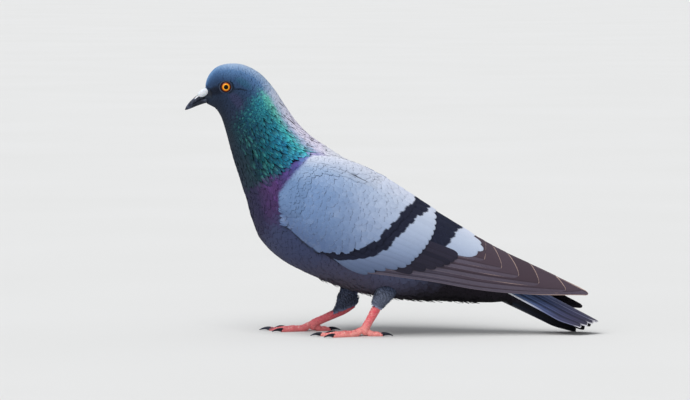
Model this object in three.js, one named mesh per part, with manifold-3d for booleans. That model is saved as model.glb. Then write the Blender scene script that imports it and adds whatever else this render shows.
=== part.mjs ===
// A blue-bar pigeon, standing, life size, in millimetres.
// +Z is up, -X is the way the bill points, and -Y is the bird's left side.
// The soles of the toes are on Z = 0, and the origin is under the middle of the bird.
//
// Head, neck and trunk are one loft through the stations of BODY, parted by thin cuts.
// Each folded wing is one curved shield through the stations of WING, parted where the feather
// groups end: coverts, then tertials and secondaries, then primaries.

import * as THREE from "three";
import { mergeVertices } from "three/addons/utils/BufferGeometryUtils.js";
import Module from "manifold-3d";

const wasm = await Module();
wasm.setup();

// ---------------------------------------------------------------- driving sizes

const GAP = 0.3; // space between pieces that meet
const SIDES = { left: -1, right: 1 }; // sign of Y

// Sections through head, neck and trunk, from the bill to the tail's root. back and belly are the
// (x, z) of the outline above and below, half is the half width, and waist is how far up from the
// belly the section is widest.
const BODY = [
  { part: "bill base", back: [-130.7, 172.0], belly: [-130.2, 161.6], half: 4.4, waist: 0.48 },
  { part: "forehead", back: [-128.6, 179.9], belly: [-127.0, 160.3], half: 6.6, waist: 0.47 },
  { part: "brow", back: [-122.7, 186.6], belly: [-123.4, 158.2], half: 10.4, waist: 0.48 },
  { part: "eye", back: [-113.5, 189.2], belly: [-120.6, 154.6], half: 12.7, waist: 0.5 },
  { part: "crown", back: [-103.0, 188.0], belly: [-118.4, 149.8], half: 13.3, waist: 0.54 },
  { part: "nape", back: [-92.0, 182.0], belly: [-116.4, 143.4], half: 13.9, waist: 0.54 },
  { part: "nape foot", back: [-82.4, 171.2], belly: [-114.2, 135.4], half: 15.0, waist: 0.52 },
  { part: "upper neck", back: [-75.0, 160.0], belly: [-111.6, 126.0], half: 16.8, waist: 0.5 },
  { part: "mid neck", back: [-67.0, 148.6], belly: [-108.4, 115.6], half: 19.6, waist: 0.5 },
  { part: "low neck", back: [-57.0, 138.6], belly: [-104.8, 104.6], half: 24.0, waist: 0.5 },
  { part: "neck foot", back: [-45.5, 130.8], belly: [-101.0, 93.0], half: 29.2, waist: 0.5 },
  { part: "shoulder", back: [-33.0, 122.8], belly: [-97.8, 80.6], half: 34.0, waist: 0.48 },
  { part: "breast", back: [-18.0, 114.4], belly: [-91.6, 66.2], half: 37.2, waist: 0.46 },
  { part: "wide back", back: [-2.0, 105.0], belly: [-77.6, 52.6], half: 38.6, waist: 0.45 },
  { part: "keel", back: [13.5, 95.4], belly: [-58.5, 42.4], half: 38.0, waist: 0.45 },
  { part: "belly", back: [28.5, 84.8], belly: [-36.0, 33.4], half: 35.2, waist: 0.46 },
  { part: "flank", back: [43.0, 74.2], belly: [-9.0, 26.4], half: 30.0, waist: 0.47 },
  { part: "vent", back: [57.0, 64.6], belly: [19.5, 23.8], half: 22.8, waist: 0.48 },
  { part: "rump", back: [71.5, 54.8], belly: [46.0, 22.8], half: 15.8, waist: 0.5 },
  { part: "tail coverts", back: [84.5, 46.0], belly: [66.0, 22.0], half: 11.4, waist: 0.5 },
  { part: "covert tips", back: [93.5, 38.4], belly: [80.0, 22.8], half: 7.0, waist: 0.5 },
];
const HEAD_END = 6.3; // station where the head is parted from the neck
const NECK_END = 10.6; // station where the neck is parted from the trunk
const SECTION_POWER = 2.15; // 2 is an ellipse, more is squarer

// Sections down a folded wing, from its bend to its tip, with Y as the distance from the midline.
// top and low are the ends of the section, and swell is how far its middle stands out from the
// straight line between them.
const WING = [
  { top: [-58.5, 25.0, 126.5], low: [-71.5, 34.8, 75.5], swell: [-13.0, 3.0, 3.0] },
  { top: [-35.0, 17.5, 123.2], low: [-55.0, 37.6, 61.0], swell: [-5.0, 15.0, 4.0] },
  { top: [-9.0, 9.5, 112.4], low: [-31.5, 36.4, 46.5], swell: [-1.0, 19.0, 5.5] },
  { top: [18.5, 5.6, 95.0], low: [-3.0, 33.0, 41.8], swell: [0.0, 17.5, 5.0] },
  { top: [46.5, 4.0, 76.7], low: [28.0, 27.5, 37.4], swell: [0.0, 12.5, 4.0] },
  { top: [75.5, 4.4, 60.5], low: [62.0, 22.5, 31.6], swell: [0.0, 7.0, 2.6] },
  { top: [107.0, 7.6, 45.8], low: [98.0, 17.5, 28.4], swell: [0.0, 3.2, 1.2] },
  { top: [136.5, 12.0, 31.6], low: [134.0, 14.4, 28.0], swell: [0.6, 0.4, 0.0] },
];
// Where each feather group ends, in WING sections, at five places from the low edge to the top.
const COVERTS_END = [2.5, 3.38, 3.6, 3.62, 3.42];
const SECONDARIES_END = [3.45, 4.08, 4.3, 4.6, 4.45];
const WING_LAYERS = [
  { name: "coverts", thick: 5.5, proud: 1.2, rows: 9, tipDepth: 0.07 },
  { name: "secondaries", thick: 3.6, proud: 0.6, rows: 4, tipDepth: 0.06 },
  { name: "primaries", thick: 2.4, proud: 0.0, rows: 8, tipDepth: 0 },
];
const FEATHER_TIPS = 6; // pointed feather tips along the end of a group
const WING_EDGE = { front: 3.6, tip: 1.0 }; // thickness of a wing along its edges
const RIGHT_DROOP = 9.5; // the right wing's tip hangs this much lower than the left one's
const RIGHT_BACK = 4.0; // and ends this much before it

// The tail is a closed fan, arched across, with its right edge hanging lower than its left one. arch
// and lean are given at the root and where they end; near the tip the arch is flatter by archFade.
const TAIL = {
  root: [68.0, 0, 49.4],
  tip: [144.9, 0, 8.6],
  rootHalf: 10.5,
  tipHalf: 17.5,
  arch: [15.6, 14.6],
  archPower: 1.7,
  archFade: 0.2,
  lean: [4.4, 2.8],
  thick: 1.6,
  feathers: 12,
  ridge: 0.5,
  cornerBack: 13.0, // how far the outer feathers end before the middle ones
};

const EYE = { at: [-116.3, 9.2, 173.2], radius: 4.9 };
const CERE = { at: [-132.4, 1.7, 169.3], size: [4.3, 2.3, 2.7], slopeDegrees: 38 };

const UPPER_BILL = [
  { back: [-131.1, 171.0], belly: [-130.6, 164.4], half: 4.0, waist: 0.4 },
  { back: [-134.4, 168.6], belly: [-133.6, 163.3], half: 3.4, waist: 0.4 },
  { back: [-138.2, 165.6], belly: [-137.2, 161.6], half: 2.6, waist: 0.4 },
  { back: [-141.6, 162.4], belly: [-140.8, 159.6], half: 1.9, waist: 0.4 },
  { back: [-143.9, 159.3], belly: [-143.3, 157.7], half: 1.1, waist: 0.4 },
  { back: [-144.8, 157.1], belly: [-144.4, 156.7], half: 0.35, waist: 0.5 },
];
const LOWER_BILL = [
  { back: [-130.6, 164.0], belly: [-130.2, 161.7], half: 3.7, waist: 0.6 },
  { back: [-133.8, 162.8], belly: [-133.5, 160.7], half: 3.1, waist: 0.6 },
  { back: [-137.2, 161.2], belly: [-137.1, 159.4], half: 2.3, waist: 0.6 },
  { back: [-140.6, 159.3], belly: [-140.5, 158.0], half: 1.5, waist: 0.6 },
  { back: [-142.4, 158.0], belly: [-142.3, 157.3], half: 0.8, waist: 0.6 },
];

// Each leg: the feathered thigh's line with its radii, the shank's two ends and the toes.
// A toe's turn is its angle from straight ahead, outwards from the bird.
const LEGS = {
  left: {
    out: 20,
    thigh: [
      { at: [-1.5, 43.0], radius: 9.6 },
      { at: [-4.8, 31.0], radius: 7.3 },
      { at: [-8.8, 24.0], radius: 5.1 },
      { at: [-11.6, 18.5], radius: 3.9 },
    ],
    palm: [-19.0, 5.2],
    toes: [
      { name: "inner", turn: -24, length: 24 },
      { name: "middle", turn: 2, length: 31 },
      { name: "outer", turn: 27, length: 25 },
      { name: "hind", turn: 176, length: 12.5 },
    ],
  },
  right: {
    out: 20,
    thigh: [
      { at: [-25.0, 43.0], radius: 10.6 },
      { at: [-28.0, 31.0], radius: 8.6 },
      { at: [-30.0, 22.5], radius: 7.6 },
      { at: [-34.5, 17.6], radius: 5.6 },
      { at: [-39.5, 14.4], radius: 4.2 },
    ],
    palm: [-55.5, 5.2],
    toes: [
      { name: "inner", turn: -22, length: 24 },
      { name: "middle", turn: 4, length: 31 },
      { name: "outer", turn: 30, length: 25 },
      { name: "hind", turn: 172, length: 12.5 },
    ],
  },
};
const SHANK = { topRadius: 3.1, footRadius: 2.7, stub: 5.0 };
const TOE = { rootRadius: 2.3, endRadius: 1.5, sink: 0.5, knuckles: 3, swell: 0.12 };
const CLAW = { length: 6.6, radius: 1.15, drop: 0.9, tipRadius: 0.2 };

// ---------------------------------------------------------------- materials

const paint = (color, roughness) =>
  new THREE.MeshStandardMaterial({ color, roughness, metalness: 0 });
const MATERIALS = {
  headFeathers: paint("#4c5f78", 0.8),
  neckFeathers: paint("#1f7a70", 0.5),
  bodyFeathers: paint("#6d7488", 0.85),
  wingFeathers: paint("#a3adbf", 0.85),
  secondaries: paint("#3a3a45", 0.8),
  flightFeathers: paint("#5a5054", 0.75),
  tailFeathers: paint("#474f5e", 0.8),
  thighFeathers: paint("#55637b", 0.85),
  bill: paint("#2b2b30", 0.45),
  cere: paint("#dcdde0", 0.7),
  eye: paint("#d97a12", 0.15),
  legSkin: paint("#c8433f", 0.6),
  claw: paint("#26242a", 0.45),
};

// ---------------------------------------------------------------- numbers and curves

const mix = THREE.MathUtils.lerp;
const radians = THREE.MathUtils.degToRad;
const ease = (t) => THREE.MathUtils.smoothstep(t, 0, 1);

// The value at place s of a row of numbers, on a smooth curve through them.
function smooth(row, s) {
  const i = Math.min(Math.max(Math.floor(s), 0), row.length - 2);
  const f = s - i;
  const at = (k) => row[Math.min(Math.max(k, 0), row.length - 1)];
  const [a, b, c, d] = [at(i - 1), at(i), at(i + 1), at(i + 2)];
  const bend = 2 * a - 5 * b + 4 * c - d + f * (3 * (b - c) + d - a);
  return b + 0.5 * f * (c - a + f * bend);
}

// The same for one field of a row of stations, or for one number of a field that is a list.
const along = (stations, s, field, k) =>
  smooth(
    stations.map((station) => (k === undefined ? station[field] : station[field][k])),
    s,
  );

const roundPower = (value, power) => Math.sign(value) * Math.abs(value) ** (2 / power);

// A point on a loft through stations: angle 0 is the back, and grow moves the surface outwards.
function loftPoint(stations, s, angle, grow = 0) {
  const back = new THREE.Vector3(along(stations, s, "back", 0), 0, along(stations, s, "back", 1));
  const belly = new THREE.Vector3(along(stations, s, "belly", 0), 0, along(stations, s, "belly", 1));
  const up = back.clone().sub(belly);
  const height = up.length();
  up.normalize();
  const waist = along(stations, s, "waist");
  const rise = roundPower(Math.cos(angle), SECTION_POWER);
  const reach = roundPower(Math.sin(angle), SECTION_POWER);
  const share = rise > 0 ? 1 - waist : waist;
  return belly
    .addScaledVector(up, waist * height + rise * (share * height + grow))
    .setY(reach * (along(stations, s, "half") + grow));
}

// A point on the outer face of a folded wing: t runs down the wing, v from its low edge to its top.
function wingPoint(t, v, side) {
  const [x, y, z] = [0, 1, 2].map((k) => {
    const swell = along(WING, t, "swell", k) * 4 * v * (1 - v);
    return mix(along(WING, t, "low", k), along(WING, t, "top", k), v) + swell;
  });
  const tipShare = ease((t - 3) / (WING.length - 4));
  const [droop, back] = side === SIDES.right ? [RIGHT_DROOP, RIGHT_BACK] : [0, 0];
  return new THREE.Vector3(x - back * tipShare ** 3, side * y, z - droop * tipShare);
}

// The outward normal of a wing's outer face.
function wingNormal(t, v, side) {
  const step = 0.02;
  const [t0, t1] = [Math.max(t - step, 0), Math.min(t + step, WING.length - 1)];
  const [v0, v1] = [Math.max(v - step, 0), Math.min(v + step, 1)];
  const down = wingPoint(t1, v, side).sub(wingPoint(t0, v, side));
  const across = wingPoint(t, v1, side).sub(wingPoint(t, v0, side));
  return down.cross(across).multiplyScalar(-side).normalize();
}

// ---------------------------------------------------------------- closed meshes from rings

const fan = (centre, ring) => ring.map((a, i) => [centre, a, ring[(i + 1) % ring.length]]);

// Closes rings of points into one solid. A ladder joins the two halves of an end ring, for a thin
// sheet; otherwise an end gets a fan about its centre.
function ringSolid(rings, ladder = false) {
  const count = rings[0].length;
  const points = rings.flat();
  const index = (ring, k) => ring * count + (k % count);
  const faces = [];
  for (let r = 0; r < rings.length - 1; r++) {
    for (let k = 0; k < count; k++) {
      const [a, b, c, d] = [index(r, k), index(r, k + 1), index(r + 1, k + 1), index(r + 1, k)];
      faces.push([a, b, c], [a, c, d]);
    }
  }
  for (const [r, flip] of [
    [0, true],
    [rings.length - 1, false],
  ]) {
    const cap = [];
    if (ladder) {
      for (let k = 0; k < count / 2 - 1; k++) {
        const [a, b] = [index(r, k), index(r, k + 1)];
        const [c, d] = [index(r, count - 2 - k), index(r, count - 1 - k)];
        cap.push([a, b, c], [a, c, d]);
      }
    } else {
      const centre = rings[r].reduce((sum, p) => sum.add(p), new THREE.Vector3());
      points.push(centre.divideScalar(count));
      cap.push(...fan(points.length - 1, Array.from({ length: count }, (_, k) => index(r, k))));
    }
    faces.push(...cap.map(([a, b, c]) => (flip ? [a, c, b] : [a, b, c])));
  }
  const volume = faces.reduce(
    (sum, [a, b, c]) => sum + points[a].dot(points[b].clone().cross(points[c])),
    0,
  );
  const outward = volume > 0 ? faces : faces.map(([a, b, c]) => [a, c, b]);
  const geometry = new THREE.BufferGeometry().setFromPoints(points);
  geometry.setIndex(outward.flat());
  return geometry;
}

const steps = (from, to, count) =>
  Array.from({ length: count + 1 }, (_, i) => mix(from, to, i / count));

// A closed length of a loft, from station s0 to s1.
function loftSolid(stations, s0, s1, rings, around, grow = 0) {
  const angles = steps(0, 2 * Math.PI, around).slice(0, -1);
  return ringSolid(
    steps(s0, s1, rings).map((s) => angles.map((angle) => loftPoint(stations, s, angle, grow))),
  );
}

// A round tube along points, with a radius at each; squat is its height as a share of its width.
function tubeSolid(points, radii, around, squat = 1) {
  const rings = points.map((point, i) => {
    const before = points[Math.max(i - 1, 0)];
    const after = points[Math.min(i + 1, points.length - 1)];
    const ahead = after.clone().sub(before).normalize();
    const flat = new THREE.Vector3(-ahead.y, ahead.x, 0);
    const side = flat.lengthSq() > 1e-4 ? flat.normalize() : new THREE.Vector3(0, 1, 0);
    const up = ahead.clone().cross(side);
    return steps(0, 2 * Math.PI, around)
      .slice(0, -1)
      .map((angle) =>
        point
          .clone()
          .addScaledVector(side, radii[i] * Math.cos(angle))
          .addScaledVector(up, radii[i] * squat * Math.sin(angle)),
      );
  });
  return ringSolid(rings);
}

// ---------------------------------------------------------------- cutting and joining

function toManifold(geometry) {
  const plain = geometry.clone();
  plain.deleteAttribute("normal");
  plain.deleteAttribute("uv");
  const merged = mergeVertices(plain, 1e-4);
  return new wasm.Manifold(
    new wasm.Mesh({
      numProp: 3,
      vertProperties: new Float32Array(merged.attributes.position.array),
      triVerts: new Uint32Array(merged.index.array),
    }),
  );
}

function toGeometry(manifold) {
  const mesh = manifold.getMesh();
  const geometry = new THREE.BufferGeometry();
  geometry.setAttribute("position", new THREE.BufferAttribute(mesh.vertProperties, 3));
  return geometry.setIndex(new THREE.BufferAttribute(mesh.triVerts, 1));
}

const cut = (geometry, ...tools) =>
  toGeometry(tools.reduce((kept, tool) => kept.subtract(toManifold(tool)), toManifold(geometry)));
const join = (...geometries) =>
  toGeometry(geometries.map(toManifold).reduce((sum, next) => sum.add(next)));

// ---------------------------------------------------------------- head, neck and trunk

const bodyEnd = BODY.length - 1;
const part = new THREE.Group();

function addPiece(name, geometry, material) {
  geometry.computeVertexNormals();
  const mesh = new THREE.Mesh(geometry, material);
  mesh.name = name;
  part.add(mesh);
}

// The whole body, a gap larger all round, to cut what rests against it.
const bodyCutter = loftSolid(BODY, 0, bodyEnd, 36, 24, GAP);

const eyeBall = (side, grow = 0) =>
  new THREE.SphereGeometry(EYE.radius + grow, 14, 8).translate(
    EYE.at[0],
    side * EYE.at[1],
    EYE.at[2],
  );

const cereLobe = (side, grow = 0) =>
  new THREE.SphereGeometry(1, 10, 7)
    .scale(...CERE.size.map((size) => size + grow))
    .rotateY(-radians(CERE.slopeDegrees))
    .translate(CERE.at[0], side * CERE.at[1], CERE.at[2]);
const cereShape = (grow) => join(...Object.values(SIDES).map((side) => cereLobe(side, grow)));

function addHeadAndBody() {
  const sockets = Object.values(SIDES).map((side) => eyeBall(side, GAP));
  const head = loftSolid(BODY, 0, HEAD_END, 12, 22);
  addPiece("head", cut(head, ...sockets), MATERIALS.headFeathers);
  const neck = loftSolid(BODY, HEAD_END + 0.04, NECK_END, 7, 22);
  addPiece("neck", neck, MATERIALS.neckFeathers);
  const trunk = loftSolid(BODY, NECK_END + 0.04, bodyEnd, 17, 24);
  addPiece("trunk", trunk, MATERIALS.bodyFeathers);
  for (const [name, side] of Object.entries(SIDES)) {
    addPiece(`eye_${name}`, eyeBall(side), MATERIALS.eye);
  }
}

function addBill() {
  const upper = loftSolid(UPPER_BILL, 0, UPPER_BILL.length - 1, 7, 12);
  const lower = loftSolid(LOWER_BILL, 0, LOWER_BILL.length - 1, 5, 10);
  addPiece("bill_upper", cut(upper, bodyCutter, cereShape(GAP)), MATERIALS.bill);
  addPiece("bill_lower", cut(lower, bodyCutter), MATERIALS.bill);
  addPiece("cere", cut(cereShape(0), bodyCutter), MATERIALS.cere);
}

// ---------------------------------------------------------------- wings

// The wing section at which a group ends, v of the way up, with its feathers' tips.
function groupEnd(ends, v, layer) {
  const bite = layer.tipDepth * Math.abs(Math.cos(Math.PI * FEATHER_TIPS * v));
  return smooth(ends, v * (ends.length - 1)) - bite;
}

function wingLayer(layer, start, end, side) {
  const columns = steps(0, 1, 2 * FEATHER_TIPS);
  const rings = steps(0, 1, layer.rows).map((share) => {
    const outer = [];
    const inner = [];
    for (const v of columns) {
      const t = mix(start(v), end(v), share);
      const normal = wingNormal(t, v, side);
      const middle = Math.sqrt(4 * v * (1 - v));
      const aft = ease(t / (WING.length - 2));
      const edge = mix(WING_EDGE.front, WING_EDGE.tip, aft);
      const thick = edge + Math.max(layer.thick - edge, 0) * middle * (1 - 0.7 * aft);
      const face = wingPoint(t, v, side).addScaledVector(normal, layer.proud * middle);
      outer.push(face);
      inner.unshift(face.clone().addScaledVector(normal, -thick));
    }
    return [...outer, ...inner];
  });
  return ringSolid(rings, true);
}

function addWing(name, side) {
  const [coverts, secondaries, primaries] = WING_LAYERS;
  const parting = 0.02;
  const covertEnd = (v) => groupEnd(COVERTS_END, v, coverts);
  const secondaryEnd = (v) => groupEnd(SECONDARIES_END, v, secondaries);
  const shapes = [
    [coverts, () => 0, covertEnd, MATERIALS.wingFeathers],
    [secondaries, (v) => covertEnd(v) + parting, secondaryEnd, MATERIALS.secondaries],
    [primaries, (v) => secondaryEnd(v) + parting, () => WING.length - 1, MATERIALS.flightFeathers],
  ];
  for (const [layer, start, end, material] of shapes) {
    const piece = cut(wingLayer(layer, start, end, side), bodyCutter);
    addPiece(`wing_${name}_${layer.name}`, piece, material);
  }
}

// ---------------------------------------------------------------- tail

// A point on the upper face of the tail: u from root to tip, w from the left edge, -1, to the right.
function tailPoint(u, w) {
  const [root, tip] = [TAIL.root, TAIL.tip].map((p) => new THREE.Vector3(...p));
  const ahead = tip.clone().sub(root).normalize();
  const up = new THREE.Vector3(0, 1, 0).cross(ahead).negate();
  const half = mix(TAIL.rootHalf, TAIL.tipHalf, u);
  const feather = (w + 1) * 0.5 * TAIL.feathers;
  const tipRound = 1 - Math.abs(Math.cos(Math.PI * feather)) * 0.02 * u ** 4;
  const short = (TAIL.cornerBack / TAIL.tipHalf) * Math.abs(w) ** 3;
  const point = root.lerp(tip, u * tipRound).addScaledVector(ahead, -short * half * u ** 2);
  const fold = TAIL.ridge * (1 - Math.abs(w)) * (feather - Math.floor(feather) - 0.5) * Math.sign(-w);
  const arch = mix(...TAIL.arch, ease(u / 0.7)) * (1 - TAIL.archFade * ease((u - 0.72) / 0.28));
  const rise = fold - arch * Math.abs(w) ** TAIL.archPower - mix(...TAIL.lean, u) * w;
  return point.addScaledVector(up, rise).add(new THREE.Vector3(0, w * half, 0));
}

function addTail() {
  const columns = steps(-1, 1, 2 * TAIL.feathers);
  const down = new THREE.Vector3(0, 0, -TAIL.thick);
  const rings = steps(0, 1, 7).map((u) => {
    const upper = columns.map((w) => tailPoint(u, w));
    const lower = upper.map((point) => point.clone().add(down)).reverse();
    return [...upper, ...lower];
  });
  addPiece("tail", cut(ringSolid(rings, true), bodyCutter), MATERIALS.tailFeathers);
}

// ---------------------------------------------------------------- legs

function toeSolid(palm, toe, side) {
  const turn = radians(toe.turn);
  const ahead = new THREE.Vector3(-Math.cos(turn), side * Math.sin(turn), 0);
  const shares = steps(0, 1, 6);
  const radii = shares.map((share) => {
    const knuckle = 1 + TOE.swell * Math.cos(2 * Math.PI * TOE.knuckles * share);
    return mix(TOE.rootRadius, TOE.endRadius, share) * knuckle;
  });
  const points = shares.map((share, i) => {
    const ground = radii[i] - TOE.sink;
    const height = mix(palm.z, ground, ease(share * 3.2));
    return palm.clone().setZ(height).addScaledVector(ahead, share * toe.length);
  });
  return { solid: tubeSolid(points, radii, 7), end: points.at(-1), ahead };
}

function clawSolid(end, ahead) {
  const shares = steps(0, 1, 3);
  const points = shares.map((share) =>
    end
      .clone()
      .addScaledVector(ahead, GAP + share * CLAW.length)
      .add(new THREE.Vector3(0, 0, 0.25 + 0.5 * Math.sin(Math.PI * share) - CLAW.drop * share ** 2)),
  );
  const radii = shares.map((share) => mix(CLAW.radius, CLAW.tipRadius, share ** 1.2));
  return tubeSolid(points, radii, 6, 0.85);
}

function addLeg(name, side) {
  const leg = LEGS[name];
  const place = ([x, z]) => new THREE.Vector3(x, side * leg.out, z);
  const thighPath = new THREE.CatmullRomCurve3(leg.thigh.map(({ at }) => place(at)));
  const shares = steps(0, 1, 8);
  const thighRadii = shares.map((share) =>
    smooth(
      leg.thigh.map(({ radius }) => radius),
      share * (leg.thigh.length - 1),
    ),
  );
  const thighPoints = shares.map((share) => thighPath.getPoint(share));
  const thigh = tubeSolid(thighPoints, thighRadii, 12);
  addPiece(`thigh_${name}`, cut(thigh, bodyCutter), MATERIALS.thighFeathers);

  const palm = place(leg.palm);
  const heel = thighPoints.at(-1);
  const up = heel.clone().sub(palm).normalize();
  const ankle = palm.clone().addScaledVector(up, SHANK.stub);
  const shankTop = heel.clone().addScaledVector(up, -GAP);
  const shankFoot = ankle.clone().addScaledVector(up, GAP);
  const shankPoints = steps(0, 1, 3).map((share) => shankTop.clone().lerp(shankFoot, share));
  const shankRadii = steps(SHANK.topRadius, SHANK.footRadius, 3);
  addPiece(`shank_${name}`, tubeSolid(shankPoints, shankRadii, 10), MATERIALS.legSkin);

  const stub = tubeSolid([ankle, palm], [SHANK.footRadius, SHANK.footRadius], 10);
  const toes = leg.toes.map((toe) => ({ ...toe, ...toeSolid(palm, toe, side) }));
  const underFloor = new THREE.BoxGeometry(200, 200, 20).translate(palm.x, palm.y, -10);
  const foot = cut(join(stub, ...toes.map((toe) => toe.solid)), underFloor);
  addPiece(`foot_${name}`, foot, MATERIALS.legSkin);
  for (const toe of toes) {
    const claw = clawSolid(toe.end, toe.ahead);
    addPiece(`claw_${name}_${toe.name}`, claw, MATERIALS.claw);
  }
}

// ---------------------------------------------------------------- the bird

addHeadAndBody();
addBill();
addTail();
for (const [name, side] of Object.entries(SIDES)) {
  addWing(name, side);
  addLeg(name, side);
}

export default part;
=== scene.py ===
"""A life-size blue-bar pigeon: skin, feathers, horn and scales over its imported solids.

The axes are the frame's: +Z up, -X the way the bill points, -Y the bird's left side. Tables of
sizes are in millimetres and meshes are in metres.
"""

from __future__ import annotations

import logging
import math
from abc import ABC, abstractmethod
from dataclasses import dataclass
from enum import Enum
from itertools import product
from typing import Callable, Sequence

import bmesh
import bpy
import numpy as np
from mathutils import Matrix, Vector, kdtree
from mathutils.bvhtree import BVHTree


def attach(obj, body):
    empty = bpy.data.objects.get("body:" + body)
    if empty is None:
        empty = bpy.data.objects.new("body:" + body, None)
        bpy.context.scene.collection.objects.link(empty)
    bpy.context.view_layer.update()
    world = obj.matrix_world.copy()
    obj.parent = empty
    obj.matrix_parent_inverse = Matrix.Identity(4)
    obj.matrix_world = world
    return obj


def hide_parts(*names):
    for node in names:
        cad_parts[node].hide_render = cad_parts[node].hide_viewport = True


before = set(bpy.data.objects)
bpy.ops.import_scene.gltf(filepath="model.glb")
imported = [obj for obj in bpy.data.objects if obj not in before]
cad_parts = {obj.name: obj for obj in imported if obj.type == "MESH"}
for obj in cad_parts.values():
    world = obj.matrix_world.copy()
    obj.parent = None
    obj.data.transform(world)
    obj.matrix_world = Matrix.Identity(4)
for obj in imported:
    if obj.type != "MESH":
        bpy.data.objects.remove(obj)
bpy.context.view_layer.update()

LOG = logging.getLogger("pigeon")
MM = 0.001
Array = np.ndarray
Colour = tuple[float, float, float]


class Side(Enum):
    """The bird's two sides, with the sign of Y."""

    LEFT = -1
    RIGHT = 1

    @property
    def word(self) -> str:
        """The side's name as the nodes spell it."""
        return self.name.lower()


# ------------------------------------------------------------------ numbers


def smooth(rows: Array, s: Array) -> Array:
    """Reads a smooth curve through evenly spaced rows.

    Args:
        rows: Values of shape (n,) or (n, k).
        s: Places along the rows, 0 being the first.

    Returns:
        The values at s, of shape s.shape or s.shape + (k,).
    """
    last = len(rows) - 1
    i = np.clip(np.floor(s).astype(int), 0, last - 1)
    f = s - i
    if rows.ndim == 2:
        f = f[..., None]
    a, b, c, d = (rows[np.clip(i + k, 0, last)] for k in (-1, 0, 1, 2))
    bend = 2 * a - 5 * b + 4 * c - d + f * (3 * (b - c) + d - a)
    return b + 0.5 * f * (c - a + f * bend)


def ease(x: Array | float) -> Array | float:
    """Goes smoothly from 0 to 1 as x does."""
    x = np.clip(x, 0, 1)
    return x * x * (3 - 2 * x)


def past(x: Array | float, start: float, width: float) -> Array | float:
    """Goes smoothly from 0 at start to 1 a width further on."""
    return ease((x - start) / width)


def mix(a: Array | float, b: Array | float, share: Array | float) -> Array | float:
    """The value a share of the way from a to b."""
    return a + (b - a) * share


def signed_power(value: Array, power: float) -> Array:
    """A rounded square section's cosine or sine: 2 is a circle, more is squarer."""
    return np.sign(value) * np.abs(value) ** (2 / power)


def paint(red: int, green: int, blue: int) -> Colour:
    """A display colour, 0 to 255, as the linear colour that shaders take."""
    shares = [value / 255 for value in (red, green, blue)]
    return tuple(v / 12.92 if v <= 0.04045 else ((v + 0.055) / 1.055) ** 2.4 for v in shares)


# ------------------------------------------------------------------ forms that feathers lie on


class Form(ABC):
    """A surface with two coordinates: p runs the way the feathers lie, q runs across."""

    handed = 1.0
    nudge = (0.01, 0.01)

    @abstractmethod
    def point(self, p: Array, q: Array) -> Array:
        """Points in metres, of shape p.shape + (3,)."""

    def slopes(self, p: Array, q: Array) -> tuple[Array, Array, Array]:
        """The surface's two slopes and its outward normal.

        Args:
            p: Places along.
            q: Places across.

        Returns:
            The slope along p, the slope along q, and the unit normal.
        """
        dp, dq = self.nudge
        along = (self.point(p + dp, q) - self.point(p - dp, q)) / (2 * dp)
        across = (self.point(p, q + dq) - self.point(p, q - dq)) / (2 * dq)
        normal = np.cross(along, across) * self.handed
        size = np.linalg.norm(normal, axis=-1, keepdims=True)
        return along, across, normal / np.maximum(size, 1e-12)

    def step(self, p: Array, q: Array, ahead: Array, across: Array) -> tuple[Array, Array]:
        """Moves places over the surface by lengths in metres.

        Args:
            p: Places along.
            q: Places across.
            ahead: Length to go along the lie.
            across: Length to go square to it, towards greater q.

        Returns:
            The new p and q.
        """
        sp, sq, _ = self.slopes(p, q)
        pp = np.maximum((sp * sp).sum(-1), 1e-12)
        pq = (sp * sq).sum(-1)
        square = np.sqrt(np.maximum((sq * sq).sum(-1) - pq * pq / pp, 1e-9))
        dq = across / square
        return p + ahead / np.sqrt(pp) - dq * pq / pp, q + dq


@dataclass(frozen=True)
class Station:
    """One section of a loft in millimetres: back and belly are the (x, z) of the outline."""

    back: tuple[float, float]
    belly: tuple[float, float]
    half: float
    waist: float


class Loft(Form):
    """A loft through stations: p is the station and q the angle from the back, right side +."""

    def __init__(self, stations: Sequence[Station], power: float = 2.15) -> None:
        """Keeps the stations as arrays in metres.

        Args:
            stations: The sections, in order.
            power: 2 for elliptical sections, more for squarer ones.
        """
        self.back = np.array([s.back for s in stations]) * MM
        self.belly = np.array([s.belly for s in stations]) * MM
        self.half = np.array([s.half for s in stations]) * MM
        self.waist = np.array([s.waist for s in stations])
        self.power = power
        self.last = len(stations) - 1
        self.grow: Callable[[Array], Array] = np.zeros_like

    def point(self, p: Array, q: Array) -> Array:
        """Points in metres; grow(p) moves the surface outwards."""
        s = np.clip(p, 0, self.last)
        back, belly = smooth(self.back, s), smooth(self.belly, s)
        half, waist, grow = smooth(self.half, s), smooth(self.waist, s), self.grow(s)
        up = back - belly
        height = np.linalg.norm(up, axis=-1)
        up = up / height[..., None]
        rise = signed_power(np.cos(q), self.power)
        reach = signed_power(np.sin(q), self.power)
        share = np.where(rise > 0, 1 - waist, waist)
        flat = belly + up * (waist * height + rise * (share * height + grow))[..., None]
        beyond = (p - s)[..., None] * (smooth(self.back, s) - smooth(self.back, s - 0.05)) * 20
        flat = flat + np.where(p[..., None] > self.last, beyond, 0)
        return np.stack([flat[..., 0], reach * (half + grow), flat[..., 1]], axis=-1)


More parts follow.
